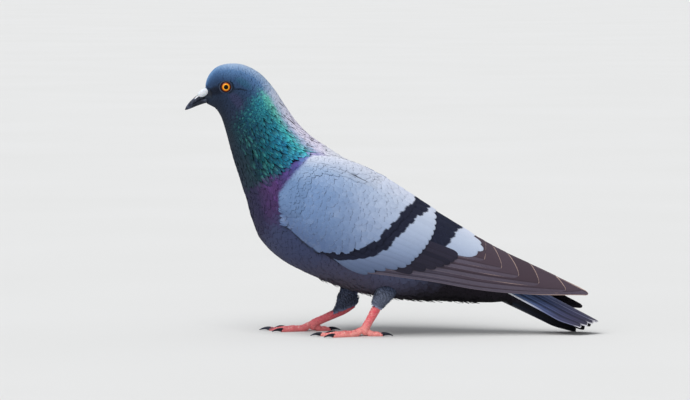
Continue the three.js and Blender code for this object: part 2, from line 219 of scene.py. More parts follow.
BODY = Loft(
    [
        Station((-130.7, 172.0), (-130.2, 161.6), 4.0, 0.48),  # 0, bill's base
        Station((-128.6, 179.9), (-127.0, 160.3), 5.6, 0.47),
        Station((-122.7, 186.6), (-123.4, 158.2), 10.2, 0.48),
        Station((-113.5, 189.2), (-120.6, 154.6), 12.7, 0.50),  # 3, eyes
        Station((-103.0, 188.0), (-118.4, 149.8), 13.3, 0.54),
        Station((-92.0, 182.0), (-116.4, 143.4), 13.9, 0.54),
        Station((-82.4, 171.2), (-114.2, 135.4), 15.0, 0.52),  # 6, foot of the nape
        Station((-75.0, 160.0), (-111.6, 126.0), 16.8, 0.50),
        Station((-67.0, 148.6), (-108.4, 115.6), 19.6, 0.50),
        Station((-57.0, 138.6), (-104.8, 104.6), 24.0, 0.50),  # 9, low neck
        Station((-45.5, 130.8), (-101.0, 93.0), 29.2, 0.50),
        Station((-33.0, 122.8), (-97.8, 80.6), 34.0, 0.48),  # 11, shoulders
        Station((-18.0, 114.4), (-91.6, 66.2), 37.2, 0.46),
        Station((-2.0, 105.0), (-77.6, 52.6), 38.6, 0.45),
        Station((13.5, 95.4), (-58.5, 42.4), 38.0, 0.45),
        Station((28.5, 84.8), (-36.0, 33.4), 35.2, 0.46),  # 15, belly
        Station((43.0, 74.2), (-9.0, 26.4), 30.0, 0.47),
        Station((57.0, 64.6), (19.5, 23.8), 22.8, 0.48),
        Station((71.5, 54.8), (46.0, 22.8), 15.8, 0.50),
        Station((84.5, 46.0), (66.0, 22.0), 11.4, 0.50),
        Station((93.5, 38.4), (80.0, 22.8), 7.0, 0.50),  # 20, tips of the tail coverts
    ]
)

# What is drawn in from the solids for the feathers to lie in, in millimetres, at stations 0 to 20.
COAT_DEPTH = np.array(
    [0.3, 0.5, 0.7, 0.8, 0.9, 1.1, 1.4, 1.7, 1.9, 2.1, 2.3, 2.5, 2.6, 2.6, 2.6, 2.6, 2.6, 2.5, 2.3]
    + [2.0, 1.8]
)


class WingForm(Form):
    """The outer face of a folded wing: p runs from its bend to its tip, q from low edge to top."""

    top = np.array([
        (-58.5, 25.0, 126.5), (-35.0, 17.5, 123.2), (-9.0, 9.5, 112.4), (18.5, 5.6, 95.0),
        (46.5, 4.0, 76.7), (75.5, 4.4, 60.5), (107.0, 7.6, 45.8), (136.5, 12.0, 31.6),
    ])
    low = np.array([
        (-71.5, 34.8, 75.5), (-55.0, 37.6, 61.0), (-31.5, 36.4, 46.5), (-3.0, 33.0, 41.8),
        (28.0, 27.5, 37.4), (62.0, 22.5, 31.6), (98.0, 17.5, 28.4), (134.0, 14.4, 28.0),
    ])
    swell = np.array([
        (-13.0, 3.0, 3.0), (-5.0, 15.0, 4.0), (-1.0, 19.0, 5.5), (0.0, 17.5, 5.0),
        (0.0, 12.5, 4.0), (0.0, 7.0, 2.6), (0.0, 3.2, 1.2), (0.6, 0.4, 0.0),
    ])
    right_droop, right_back, right_set = 10.2, 2.6, 0.8
    nudge = (0.02, 0.01)

    def __init__(self, side: Side) -> None:
        """Takes the side that the wing is on."""
        self.side = side
        self.handed = -float(side.value)

    def point(self, p: Array, q: Array) -> Array:
        """Points in metres."""
        t = np.clip(p, 0, 7)
        low, top, swell = smooth(self.low, t), smooth(self.top, t), smooth(self.swell, t)
        v = q[..., None]
        flat = low + (top - low) * v + swell * 4 * v * (1 - v)
        flat = flat + (p - t)[..., None] * np.array([33.0, 0.0, -11.0])
        share = past(t, 3, 4) * (self.side is Side.RIGHT)
        x = flat[..., 0] - self.right_back * share**3
        z = flat[..., 2] - self.right_droop * share - self.right_set * (self.side is Side.RIGHT)
        return np.stack([x, self.side.value * flat[..., 1], z], axis=-1) * MM


class DrapedForm(Form):
    """The body's surface, raised smoothly over the front and the top of the folded wings."""

    nudge = (0.05, 0.025)
    far = 40 * MM
    clear = 0.4 * MM
    sheet_steps = (140, 40)
    front = ((0.0, 0.35, 0.5, 0.65, 0.8, 1.0), (-0.1, -0.1, 0.1, 0.2, 0.24, 0.16))

    def __init__(self) -> None:
        """Finds where the wings lie over the body, how high, and at which place of the wing."""
        self.start, self.rows, self.columns = 7.0, 150, 241
        s = np.linspace(self.start, BODY.last, self.rows)
        q = np.linspace(-math.pi, math.pi, self.columns)
        s, q = np.meshgrid(s, q, indexing="ij")
        base = BODY.point(s, q)
        _, _, normal = BODY.slopes(s, q)
        self.wing_place = np.full((*s.shape, 2), np.nan)
        height = np.zeros(s.shape)
        for side in Side:
            tree, places = self.sheet(side)
            for i, k in zip(*np.nonzero(q * side.value > 0)):
                start = Vector(base[i, k] + normal[i, k] * self.far)
                _, _, face, distance = tree.ray_cast(start, Vector(-normal[i, k]), self.far)
                if face is not None:
                    self.wing_place[i, k] = places[face]
                    height[i, k] = self.far - distance
        t, v = np.moveaxis(np.nan_to_num(self.wing_place), -1, 0)
        front = (1 - past(t, 0.7, 0.6)) * past(v, 0.12, 0.2)
        top = past(v, 0.55, 0.15) * (1 - past(t, 1.9, 0.7))
        self.weight = np.maximum(front, top) * (height > 0)
        raised = self.spread(height * self.weight, (2, 3), np.max)
        for _ in range(2):
            raised = self.spread(raised, (2, 3), np.mean)
        self.heights = raised
        self.inside = self.spread((~np.isnan(self.wing_place[..., 0])).astype(float), (1, 1), np.mean)
        self.down, self.up = (self.filled(self.wing_place[..., k]) for k in range(2))

    def filled(self, grid: Array) -> Array:
        """A grid whose unknown places near known ones are filled from them, and the rest with 0."""
        for _ in range(6):
            known = ~np.isnan(grid)
            total = self.spread(np.where(known, grid, 0), (1, 1), np.sum)
            number = self.spread(known.astype(float), (1, 1), np.sum)
            grid = np.where(known, grid, np.where(number > 0, total / np.maximum(number, 1), np.nan))
        return np.nan_to_num(grid)

    def sheet(self, side: Side) -> tuple[BVHTree, Array]:
        """One wing's outer face as a tree of faces, and each face's place on the wing."""
        form = WingForm(side)
        down, up = self.sheet_steps
        t, v = np.meshgrid(np.linspace(0, 7, down + 1), np.linspace(0, 1, up + 1), indexing="ij")
        _, _, normal = form.slopes(t, v)
        points = (form.point(t, v) + normal * self.clear).reshape(-1, 3)
        corner = np.arange(len(points)).reshape(t.shape)[:-1, :-1].ravel()
        faces = np.stack([corner, corner + up + 1, corner + up + 2, corner + 1], -1)
        places = np.stack([t.ravel()[corner], v.ravel()[corner]], -1)
        return BVHTree.FromPolygons(points.tolist(), faces.tolist()), places

    @staticmethod
    def spread(grid: Array, reach: tuple[int, int], rule: Callable[..., Array]) -> Array:
        """Applies a rule such as the mean or the greatest over each place's neighbours."""
        rows, columns = grid.shape
        padded = np.pad(grid, [(reach[0], reach[0]), (reach[1], reach[1])], mode="edge")
        shifts = [
            padded[i : i + rows, k : k + columns]
            for i in range(2 * reach[0] + 1)
            for k in range(2 * reach[1] + 1)
        ]
        return rule(np.stack(shifts), axis=0)

    def cells(self, p: Array, q: Array) -> tuple[Array, Array]:
        """Places as fractions of the grid's rows and columns."""
        row = np.clip((p - self.start) / (BODY.last - self.start), 0, 1) * (self.rows - 1)
        turn = (q + math.pi) / math.tau
        return row, (turn - np.floor(turn)) * (self.columns - 1)

    def read(self, grid: Array, p: Array, q: Array) -> Array:
        """A grid's values at places."""
        row, column = self.cells(p, q)
        i = np.minimum(row.astype(int), self.rows - 2)
        k = np.minimum(column.astype(int), self.columns - 2)
        a, b = row - i, column - k
        low = mix(grid[i, k], grid[i, k + 1], b)
        return mix(low, mix(grid[i + 1, k], grid[i + 1, k + 1], b), a)

    def mark(self, draft: "Draft") -> "Draft":
        """Writes each point's place on the wing and whether it lies over it."""
        p, q, _ = draft.values["place"].T
        down, up = self.read(self.down, p, q), self.read(self.up, p, q)
        share = ease((self.read(self.inside, p, q) - 0.3) / 0.4)
        share = share * np.maximum(ease((1.3 - down) / 0.2), past(up, 0.72, 0.08))
        share = share * past(up, 0.13, 0.06)
        share = share * ease((down - np.interp(up, *self.front)) / 0.16 + 0.5)
        draft.values["wing"] = np.stack([down, up, share], -1)
        return draft

    def over(self, p: Array, q: Array) -> tuple[Array, Array]:
        """The wing's place over each place, nan where there is none, and the drape's weight."""
        row, column = (np.round(cell).astype(int) for cell in self.cells(p, q))
        return self.wing_place[row, column], self.weight[row, column]

    def point(self, p: Array, q: Array) -> Array:
        """Points in metres."""
        _, _, normal = BODY.slopes(p, q)
        return BODY.point(p, q) + normal * self.read(self.heights, p, q)[..., None]


class TailForm(Form):
    """The upper face of the closed tail: p from root to tip, q from the left edge, -1, to 1."""

    root = np.array([68.0, 0, 49.4])
    tip = np.array([144.9, 0, 8.6])
    root_half, tip_half = 10.5, 17.5
    arch, arch_power, arch_fade = (15.6, 14.6), 1.7, 0.2
    lean = (4.4, 2.8)
    corner_back = 10.5

    def point(self, p: Array, q: Array) -> Array:
        """Points in metres; the right edge hangs lower than the left."""
        ahead = (self.tip - self.root) / np.linalg.norm(self.tip - self.root)
        up = np.array([-ahead[2], 0, ahead[0]])
        half = mix(self.root_half, self.tip_half, p)
        short = self.corner_back / self.tip_half * np.abs(q) ** 3 * half * p**2
        line = self.root + (self.tip - self.root) * p[..., None] - ahead * short[..., None]
        arch = mix(*self.arch, ease(p / 0.7)) * (1 - self.arch_fade * past(p, 0.72, 0.28))
        rise = -arch * np.abs(q) ** self.arch_power - mix(*self.lean, p) * q
        return (line + up * rise[..., None] + np.array([0, 1.0, 0]) * (q * half)[..., None]) * MM


class LimbForm(Form):
    """A round limb along a path: p runs 0 to 1 down it, q is the angle from its front."""

    nudge = (0.01, 0.02)

    def __init__(
        self, path: Array, radii: Array, fade: float = 0.0, flat: float = 1.0, shear: float = 0.0
    ) -> None:
        """Keeps the limb's line.

        Args:
            path: Points in metres, of shape (n, 3), running down or outwards.
            radii: The limb's radius at each, in metres.
            fade: How far the surface is drawn in, in metres.
            flat: Its thickness from side to side, as a share of that from front to back.
            shear: How steeply its end slopes up towards the tail.
        """
        self.flat, self.shear = flat, shear
        self.path = path
        self.radii = radii - fade
        line = path[-1] - path[0]
        self.side = np.cross(line, [0, 0, 1.0])
        if np.linalg.norm(self.side) < 1e-6:
            self.side = np.array([0, 1.0, 0])
        self.side = self.side / np.linalg.norm(self.side)

    def point(self, p: Array, q: Array) -> Array:
        """Points in metres."""
        s = np.clip(p, 0, 1) * (len(self.path) - 1)
        ahead = smooth(self.path, np.minimum(s + 0.05, len(self.path) - 1))
        ahead = ahead - smooth(self.path, np.maximum(s - 0.05, 0))
        ahead = ahead / np.linalg.norm(ahead, axis=-1, keepdims=True)
        up = np.cross(self.side, ahead)
        radius = smooth(self.radii, s)[..., None]
        ring = up * np.cos(q)[..., None] + self.side * self.flat * np.sin(q)[..., None]
        slope = (self.shear * past(p, 0.35, 0.6))[..., None] * (ring * radius)[..., :1]
        offset = ring * radius + slope * np.array([0, 0, 1.0])
        return smooth(self.path, s) + offset + ahead * ((p - np.clip(p, 0, 1)) * 0.02)[..., None]


# ------------------------------------------------------------------ meshes


def linked(name: str, data: bpy.types.ID) -> bpy.types.Object:
    """Makes an object of a mesh, a light or a camera, in the scene."""
    made = bpy.data.objects.new(name, data)
    bpy.context.scene.collection.objects.link(made)
    return made


def read_points(mesh: bpy.types.Mesh) -> Array:
    """A mesh's points, of shape (n, 3)."""
    points = np.empty(len(mesh.vertices) * 3)
    mesh.vertices.foreach_get("co", points)
    return points.reshape(-1, 3)


def write_values(mesh: bpy.types.Mesh, values: dict[str, Array]) -> None:
    """Writes values on a mesh's points.

    Args:
        mesh: The mesh.
        values: For each name a vector for each point, or single numbers in a column.
    """
    for key, value in values.items():
        kind, field = ("FLOAT_VECTOR", "vector") if value.shape[-1] == 3 else ("FLOAT", "value")
        layer = mesh.attributes.new(key, kind, "POINT")
        layer.data.foreach_set(field, value.astype(np.float32).ravel())


def round_steps(count: int) -> Array:
    """Even angles once round, from -pi."""
    return np.linspace(-math.pi, math.pi, count, endpoint=False)


@dataclass
class Draft:
    """A triangle mesh in the making, with values on its points and a map on its corners."""

    points: Array
    faces: Array
    values: dict[str, Array]
    corners: Array
    rim: Array

    @staticmethod
    def join(drafts: Sequence["Draft"]) -> "Draft":
        """Joins drafts into one that keeps each one's values and map."""
        shift = np.cumsum([0] + [len(d.points) for d in drafts[:-1]])
        rims = np.cumsum([0] + [int(d.rim.max(initial=0)) + 2 for d in drafts[:-1]])
        return Draft(
            np.concatenate([d.points for d in drafts]),
            np.concatenate([d.faces + k for d, k in zip(drafts, shift)]),
            {key: np.concatenate([d.values[key] for d in drafts]) for key in drafts[0].values},
            np.concatenate([d.corners for d in drafts]),
            np.concatenate([np.where(d.rim >= 0, d.rim + k, -1) for d, k in zip(drafts, rims)]),
        )

    def build(self, name: str) -> bpy.types.Object:
        """Makes the mesh object.

        Args:
            name: The piece's name.

        Returns:
            The new object, linked to the scene.
        """
        mesh = bpy.data.meshes.new(name)
        mesh.vertices.add(len(self.points))
        mesh.vertices.foreach_set("co", self.points.astype(np.float32).ravel())
        count = len(self.faces)
        mesh.loops.add(count * 3)
        mesh.loops.foreach_set("vertex_index", self.faces.astype(np.int32).ravel())
        mesh.polygons.add(count)
        mesh.polygons.foreach_set("loop_start", np.arange(0, count * 3, 3, dtype=np.int32))
        mesh.update(calc_edges=True)
        mesh.polygons.foreach_set("use_smooth", np.ones(count, dtype=bool))
        write_values(mesh, self.values)
        bake = mesh.uv_layers.new(name="OFBake")
        bake.data.foreach_set("uv", self.corners.astype(np.float32).ravel())
        ends = np.empty(len(mesh.edges) * 2, dtype=np.int32)
        mesh.edges.foreach_get("vertices", ends)
        a, b = self.rim[ends[::2]], self.rim[ends[1::2]]
        sharp = mesh.attributes.new("sharp_edge", "BOOLEAN", "EDGE")
        sharp.data.foreach_set("value", (a >= 0) & (a == b))
        mesh.update()
        return linked(name, mesh)


def ring_quads(rows: int, count: int) -> Array:
    """The quads between rows of points, each row being a closed ring.

    Args:
        rows: The number of rows.
        count: The number of points in each.

    Returns:
        Quads (n, 4) as the points' numbers.
    """
    ring = np.arange(count)
    a, b = (np.arange(rows - 1)[:, None] * count + k for k in (ring, (ring + 1) % count))
    return np.stack([a, a + count, b + count, b], -1).reshape(-1, 4)


def tube(form: Form, ps: Array, qs: Array) -> tuple[Array, Array]:
    """A tube of rings over a form, with both ends closed by fans.

    Args:
        form: The surface.
        ps: Places of the rings.
        qs: Places round each ring.

    Returns:
        Points (n, 3) and triangles (m, 3).
    """
    p, q = np.meshgrid(ps, qs, indexing="ij")
    points = form.point(p, q).reshape(-1, 3)
    rows, count = len(ps), len(qs)
    quads = ring_quads(rows, count)
    ring = np.arange(count)
    after = (ring + 1) % count
    tail, first, last = (rows - 1) * count, 0 * ring + len(points), 0 * ring + len(points) + 1
    fans = [(first, ring, after), (last, tail + after, tail + ring)]
    faces = np.concatenate([quads[:, :3], quads[:, [0, 2, 3]], *(np.stack(fan, -1) for fan in fans)])
    points = np.concatenate([points, [points[:count].mean(0), points[-count:].mean(0)]])
    return points, faces if form.handed > 0 else faces[:, ::-1]


def plain_object(name: str, points: Array, faces: Array) -> bpy.types.Object:
    """Makes a smooth object from points and faces."""
    mesh = bpy.data.meshes.new(name)
    mesh.from_pydata(points.tolist(), [], faces.tolist())
    mesh.update()
    mesh.shade_smooth()
    return linked(name, mesh)


def ball(columns: int, rows: int, radius: float) -> tuple[Array, Array]:
    """A ball at the origin.

    Args:
        columns: How many faces there are round it.
        rows: How many there are from top to bottom.
        radius: Its radius.

    Returns:
        Points (n, 3) and triangles (m, 3).
    """
    shape = bmesh.new()
    bmesh.ops.create_uvsphere(shape, u_segments=columns, v_segments=rows, radius=radius)
    bmesh.ops.triangulate(shape, faces=shape.faces)
    points = np.array([tuple(vertex.co) for vertex in shape.verts])
    faces = np.array([[vertex.index for vertex in face.verts] for face in shape.faces])
    shape.free()
    return points, faces


def apply_modifiers(piece: bpy.types.Object) -> None:
    """Replaces a piece's mesh by what its modifiers make of it."""
    depsgraph = bpy.context.evaluated_depsgraph_get()
    done = bpy.data.meshes.new_from_object(piece.evaluated_get(depsgraph))
    piece.modifiers.clear()
    piece.data = done
    done.shade_smooth()


def unite(base: bpy.types.Object, others: Sequence[bpy.types.Object]) -> None:
    """Joins closed pieces into base as one surface, and deletes the others."""
    for other in others:
        modifier = base.modifiers.new("unite", "BOOLEAN")
        modifier.operation = "UNION"
        modifier.solver = "EXACT"
        modifier.object = other
        apply_modifiers(base)
        bpy.data.objects.remove(other)


def melt(name: str, parts: Sequence[tuple[Array, Array]], voxel: float, soften: int) -> bpy.types.Object:
    """Merges overlapping closed parts into one smooth surface.

    Args:
        name: The new piece's name.
        parts: Points and faces of each part.
        voxel: The size of the new surface's faces, in metres.
        soften: How many times it is smoothed.

    Returns:
        The merged piece.
    """
    shifts = np.cumsum([0] + [len(points) for points, _ in parts])
    faces = [faces + shift for (_, faces), shift in zip(parts, shifts)]
    piece = plain_object(name, np.concatenate([points for points, _ in parts]), np.concatenate(faces))
    remesh = piece.modifiers.new("merge", "REMESH")
    remesh.mode = "VOXEL"
    remesh.voxel_size = voxel
    soft = piece.modifiers.new("soften", "SMOOTH")
    soft.factor = 0.5
    soft.iterations = soften
    apply_modifiers(piece)
    return piece


# ------------------------------------------------------------------ feathers


@dataclass(frozen=True)
class VaneCut:
    """How one kind of feather or scale is cut. Lengths are in millimetres, f is 0 to 1 along."""

    rings: int = 5
    strips: int = 4
    widest: float = 0.5
    base: float = 0.35
    tip_power: float = 2.0
    tip_round: float = 0.5
    thick: float = 0.14
    camber: float = 0.2
    settle: float = 2.4
    fray: float = 0.0

    def places(self) -> Array:
        """Where the rings lie, closer together towards the tip."""
        return 1 - (1 - np.arange(1, self.rings + 1) / (self.rings + 1)) ** 1.5

    def width(self, f: Array) -> Array:
        """The share of the full width at f."""
        near = self.base + (1 - self.base) * np.sin(0.5 * math.pi * np.minimum(f / self.widest, 1))
        far = np.clip((f - self.widest) / (1 - self.widest), 0, 1)
        return near * (1 - far**self.tip_power) ** self.tip_round

    def points(self) -> tuple[Array, Array, Array]:
        """Each point's f, its g from the low edge, -1, to the high one, and its face, 1 or -1."""
        g = np.linspace(-1, 1, self.strips + 1)
        g = np.concatenate([g, g[::-1][1:-1]])
        g = np.sign(g) * np.abs(g) ** 0.8
        face = np.concatenate([np.ones(self.strips + 1), -np.ones(self.strips - 1)])
        f = np.concatenate([[0.0], np.repeat(self.places(), len(g)), [1.0]])
        return f, *(np.concatenate([[0.0], np.tile(ring, self.rings), [0.0]]) for ring in (g, face))

    def faces(self) -> tuple[Array, Array, Array]:
        """The triangles, whether each is of the upper face, and each point's edge, 0 or 1, or -1."""
        count = 2 * self.strips
        ring = np.arange(count)
        after = (ring + 1) % count
        triangles = []
        for start in 1 + count * np.arange(self.rings - 1):
            a, b = start + ring, start + after
            triangles += [(a, a + count, b + count), (a, b + count, b)]
        last, tip = 1 + (self.rings - 1) * count, 1 + self.rings * count
        triangles += [(0 * ring, 1 + ring, 1 + after), (0 * ring + tip, last + after, last + ring)]
        edge = np.tile(np.where(ring == 0, 0, np.where(ring == self.strips, 1, -1)), self.rings)
        upper = np.tile(ring < self.strips, len(triangles))
        triangles = np.concatenate([np.stack(three, -1) for three in triangles])
        return triangles, upper, np.pad(edge, 1, constant_values=-1)

    @staticmethod
    def closing(f: Array, g: Array, start: Array) -> Array:
        """What is left of each web (low, high) at f, where it closes from a start to the tip."""
        far = np.clip((f[:, None] - start[:, None]) / (1 - start[:, None]), 0, 1)
        return np.where(g > 0, (1 - far[..., 1] ** 1.5) ** 0.75, (1 - far[..., 0] ** 2) ** 0.5)


@dataclass
class Feathers:
    """Many feathers of one cut, with lengths in metres.

    Each array has one entry for each feather, and a single number holds for all of them. They lie
    from roots to tips, sunk at the one and proud at the other. slant is how far from the tip the
    lower and upper web begin to close.
    """

    roots: Array
    tips: Array
    low_half: Array | float
    high_half: Array | float
    sunk: Array | float
    proud: Array | float
    seeds: Array
    tilt: Array | float = 0.0
    curl: Array | float = 0.0
    slant: Array | None = None

    def __post_init__(self) -> None:
        """Gives each feather its own entry of every single number."""
        for key in ("low_half", "high_half", "sunk", "proud", "tilt", "curl"):
            setattr(self, key, np.zeros(len(self.roots)) + getattr(self, key))

    def part(self, keep: Array) -> "Feathers":
        """The feathers that keep is true for."""
        kept = {key: value for key, value in vars(self).items() if value is not None}
        return Feathers(**{key: value[keep] for key, value in kept.items()})


def spread_webs(
    form: Form,
    cut: VaneCut,
    feathers: Feathers,
    across: Array,
    left: Array,
    limits: tuple[float, float] | None,
) -> tuple[Array, Array, Array]:
    """Places every point of every vane on the form.

    Args:
        form: The surface.
        cut: The vanes' shape.
        feathers: The feathers.
        across: How far each point lies from its shaft, in metres.
        left: The share that is left of its web there.
        limits: The least and greatest q that a vane may reach.

    Returns:
        The points' p and q, and how much each web is narrowed in all.
    """
    f, g, _ = cut.points()
    centre = feathers.roots[:, None] * (1 - f[:, None]) + feathers.tips[:, None] * f[:, None]
    curl = feathers.curl[:, None] * f**2
    axis_p, axis_q = form.step(centre[..., 0], centre[..., 1], np.zeros_like(across), curl)
    p, q = form.step(centre[..., 0], centre[..., 1], np.zeros_like(across), across + curl)
    shrink = left
    if limits is not None:
        place, count = np.arange(len(f) - 2), 2 * cut.strips
        for limit, edge, web in ((limits[0], 0, g < 0), (limits[1], cut.strips, g > 0)):
            ends = np.concatenate([[0], place // count * count + 1 + edge, [len(f) - 1]])
            reach = q[:, ends] - axis_q
            room = (limit - axis_q) / np.where(reach == 0, 1, reach)
            share = np.where(web & (room > 0), np.clip(room, 0.02, 1), 1)
            p, q = mix(axis_p, p, share), mix(axis_q, q, share)
            shrink = shrink * share
    return mix(axis_p, p, left), mix(axis_q, q, left), shrink


def bake_map(feathers: Feathers, f: Array, g: Array, upper: Array | None) -> tuple[Array, Array]:
    """Each corner's place on the map that baking uses.

    Args:
        feathers: The feathers.
        f: The corners' places along one vane.
        g: Their places across it.
        upper: For a cell of the map to each feather, which faces are upper ones; else None.

    Returns:
        The corners' u and v, for every feather.
    """
    if upper is None:
        low, high = feathers.roots.min(0), feathers.roots.max(0)
        place = 0.01 + 0.98 * (feathers.roots - low) / np.maximum(high - low, 1e-9)
        u, v = place.T[:, :, None, None]
        return u + 0.003 * (f - 0.5)[None], v + 0.0015 * g[None]
    n = len(feathers.roots)
    columns = math.ceil(math.sqrt(n))
    cell = 1 / columns
    bottom, left = (side[:, None, None] * cell for side in divmod(np.arange(n), columns))
    u = left + cell * (0.04 + 0.92 * f)[None]
    return u, bottom + cell * (np.where(upper, 0.27, 0.73) + 0.21 * g)[None]


def lay(
    form: Form,
    cut: VaneCut,
    feathers: Feathers,
    atlas: bool = False,
    limits: tuple[float, float] | None = None,
) -> Draft:
    """Lays feathers on a form as thin closed vanes that follow it.

    Args:
        form: The surface.
        cut: The vanes' shape.
        feathers: Where they are rooted, how far they go and how high they lie.
        atlas: Gives each feather its own cell of the map, for large ones.
        limits: The least and greatest q that a vane may reach; a web is narrowed to fit.

    Returns:
        The joined vanes.
    """
    n = len(feathers.roots)
    f, g, face = cut.points()
    length = np.linalg.norm(form.point(*feathers.tips.T) - form.point(*feathers.roots.T), axis=-1)[:, None]
    wide, left = cut.width(f), np.ones((n, len(f)))
    if feathers.slant is not None:
        wide = cut.width(np.minimum(f, cut.widest))
        left = cut.closing(f, g, 1 - feathers.slant / length)
    half = np.where(g < 0, feathers.low_half[:, None], feathers.high_half[:, None])
    wave = np.sin(f * 37 + feathers.seeds[:, None] * 50 + g * 2)
    across = g * half * wide * (1 + cut.fray * wave * f)
    p, q, shrink = spread_webs(form, cut, feathers, across, left, limits)
    rise = 1 - (1 - f) ** cut.settle
    lift = mix(feathers.sunk[:, None], feathers.proud[:, None], rise)
    lift = lift + cut.camber * MM * (1 - g**2) * cut.width(f) * np.minimum(1, 2 * f)
    lift = lift + feathers.tilt[:, None] * g * np.minimum(1, 2 * f)
    lift = lift + 0.5 * cut.thick * MM * face * np.sqrt(np.maximum(1 - g**2, 0))
    points = form.point(p, q) + form.slopes(p, q)[2] * lift[..., None]
    edge = half * wide * (1 if feathers.slant is None else shrink) * (1 - np.abs(g))
    ones = np.ones((n, len(f)))
    one_each = (feathers.roots[:, :1], feathers.roots[:, 1:], feathers.seeds[:, None])
    values = {
        "root": np.stack([value * ones for value in one_each], -1),
        "place": np.stack([p, q, f * ones], -1),
        "vane": np.stack([f * length, across, np.minimum(edge, (1 - f) * length)], -1) / MM,
        "under": (ones * face).reshape(-1, 1),
    }
    triangles, upper, rim = cut.faces()
    if form.handed < 0:
        triangles = triangles[:, ::-1]
    u, v = bake_map(feathers, f[triangles], g[triangles], upper[:, None] if atlas else None)
    return Draft(
        points.reshape(-1, 3),
        (triangles[None] + (np.arange(n) * len(f))[:, None, None]).reshape(-1, 3),
        {key: value.reshape(-1, value.shape[-1]) for key, value in values.items()},
        np.stack([u + 0 * v, v + 0 * u], -1).reshape(-1, 2),
        np.where(rim >= 0, rim + 2 * np.arange(n)[:, None], -1).ravel(),
    )


@dataclass(frozen=True)
class Patch:
    """A stretch of a form to be covered with rows of feathers, and how large they are there.

    spacing gives, in millimetres, how far apart feathers stand at (p, q). With stretch above 1 they
    stand that much further apart along the lie and closer across it.
    """

    form: Form
    p_span: tuple[float, float]
    q_span: tuple[float, float]
    spacing: Callable[[Array, Array], Array]
    stretch: float = 1.0

    def roots(self, rng: np.random.Generator, jitter: float) -> Array:
        """Places feathers in staggered rows that run across the lie.

        Args:
            rng: The source of the small shifts.
            jitter: The largest shift, as a share of the spacing.

        Returns:
            Roots (n, 2) as (p, q).
        """
        ps = np.linspace(*self.p_span, 240)
        qs = np.linspace(*self.q_span, 240)
        p, q = np.meshgrid(ps, qs, indexing="ij")
        grid = self.form.point(p, q)
        gap = self.spacing(p, q) * MM
        run = np.linalg.norm(np.diff(grid, axis=0), axis=-1) / (0.5 * (gap[1:] + gap[:-1]))
        travelled = np.concatenate([np.zeros((1, len(qs))), np.cumsum(run, axis=0)])
        row_gap = 0.86 * self.stretch
        found = []
        for row in range(int(travelled[-1].max() / row_gap) + 1):
            goal = (row + 0.5) * row_gap
            inside = travelled[-1] > goal
            if not inside.any():
                break
            row_p = np.array([np.interp(goal, travelled[:, k], ps) for k in range(len(qs))])
            line = self.form.point(row_p, qs)
            stride = np.linalg.norm(np.diff(line, axis=0), axis=-1)
            here = self.spacing(row_p, qs) * MM / self.stretch
            went = np.concatenate([[0], np.cumsum(stride / (0.5 * (here[1:] + here[:-1])))])
            number = max(int(round(went[-1])), 1)
            marks = (np.arange(number) + (0.5 if row % 2 else 0.0) + 0.25) * went[-1] / number
            q_row = np.interp(marks, went, qs)
            p_row = np.interp(q_row, qs, row_p)
            reached = np.interp(q_row, qs, inside.astype(float)) > 0.5
            found.append(np.stack([p_row, q_row], -1)[reached])
        roots = np.concatenate(found)
        gap = self.spacing(*roots.T) * MM * jitter
        shift = rng.uniform(-1, 1, (2, len(roots))) * gap * [[self.stretch], [1 / self.stretch]]
        p, q = self.form.step(*roots.T, *shift)
        return np.stack([np.clip(p, *self.p_span), q], -1)


@dataclass(frozen=True)
class Coat:
    """How a patch's feathers are grown from their roots. Sizes are shares of the spacing.

    lean is the angle, in radians, by which they turn from the lie towards q = 0.
    """

    length: float = 2.6
    width: float = 1.7
    wild: float = 0.08
    lean: float = 0.0
    lift: float = 0.15
    lift_wild: float = 0.1

    def grow(self, patch: Patch, roots: Array, depth: Array, rng: np.random.Generator) -> Feathers:
        """Gives each root a feather.

        Args:
            patch: The patch that the roots are on.
            roots: Roots (n, 2).
            depth: How far under the form each feather's root lies, in metres.
            rng: The source of the small differences.

        Returns:
            The feathers.
        """
        n = len(roots)
        gap = patch.spacing(*roots.T) * MM
        length = gap * self.length * rng.uniform(0.88, 1.12, n)
        turn = rng.normal(0, self.wild, n) - self.lean * np.sign(roots[:, 1])
        p, q = patch.form.step(*roots.T, length * np.cos(turn), length * np.sin(turn))
        half = gap * self.width * 0.5 * rng.uniform(0.9, 1.1, n)
        proud = gap * (self.lift + self.lift_wild * rng.uniform(-1, 1, n)) * 0.5
        seeds = rng.uniform(0, 1, n)
        tilt, curl = (rng.normal(0, wild, n) * gap for wild in (0.03, 0.08))
        return Feathers(roots, np.stack([p, q], -1), half, half, -depth * 0.8, proud, seeds, tilt, curl)


# ------------------------------------------------------------------ shader graphs

Socket = bpy.types.NodeSocket


class Field:
    """A number, colour or vector over a surface; a sum with one adds the node that works it out."""

    def __init__(self, graph: "Graph", socket: Socket) -> None:
        """Takes the graph and the output socket that gives the field."""
        self.graph, self.socket = graph, socket

    def __add__(self, other: "Value") -> "Field":
        """This and another."""
        return self.graph.math("ADD", self, other)

    def __sub__(self, other: "Value") -> "Field":
        """This less another."""
        return self.graph.math("SUBTRACT", self, other)

    def __rsub__(self, other: "Value") -> "Field":
        """Another less this."""
        return self.graph.math("SUBTRACT", other, self)

    def __mul__(self, other: "Value") -> "Field":
        """This times another."""
        return self.graph.math("MULTIPLY", self, other)

    def __truediv__(self, other: "Value") -> "Field":
        """This by another."""
        return self.graph.math("DIVIDE", self, other)

    def __abs__(self) -> "Field":
        """This without its sign."""
        return self.graph.math("ABSOLUTE", self)

    def clamped(self) -> "Field":
        """This sum kept within 0 and 1."""
        self.socket.node.use_clamp = True
        return self


Value = Field | float | Sequence[float]
Stops = Sequence[tuple[float, int, int, int]]


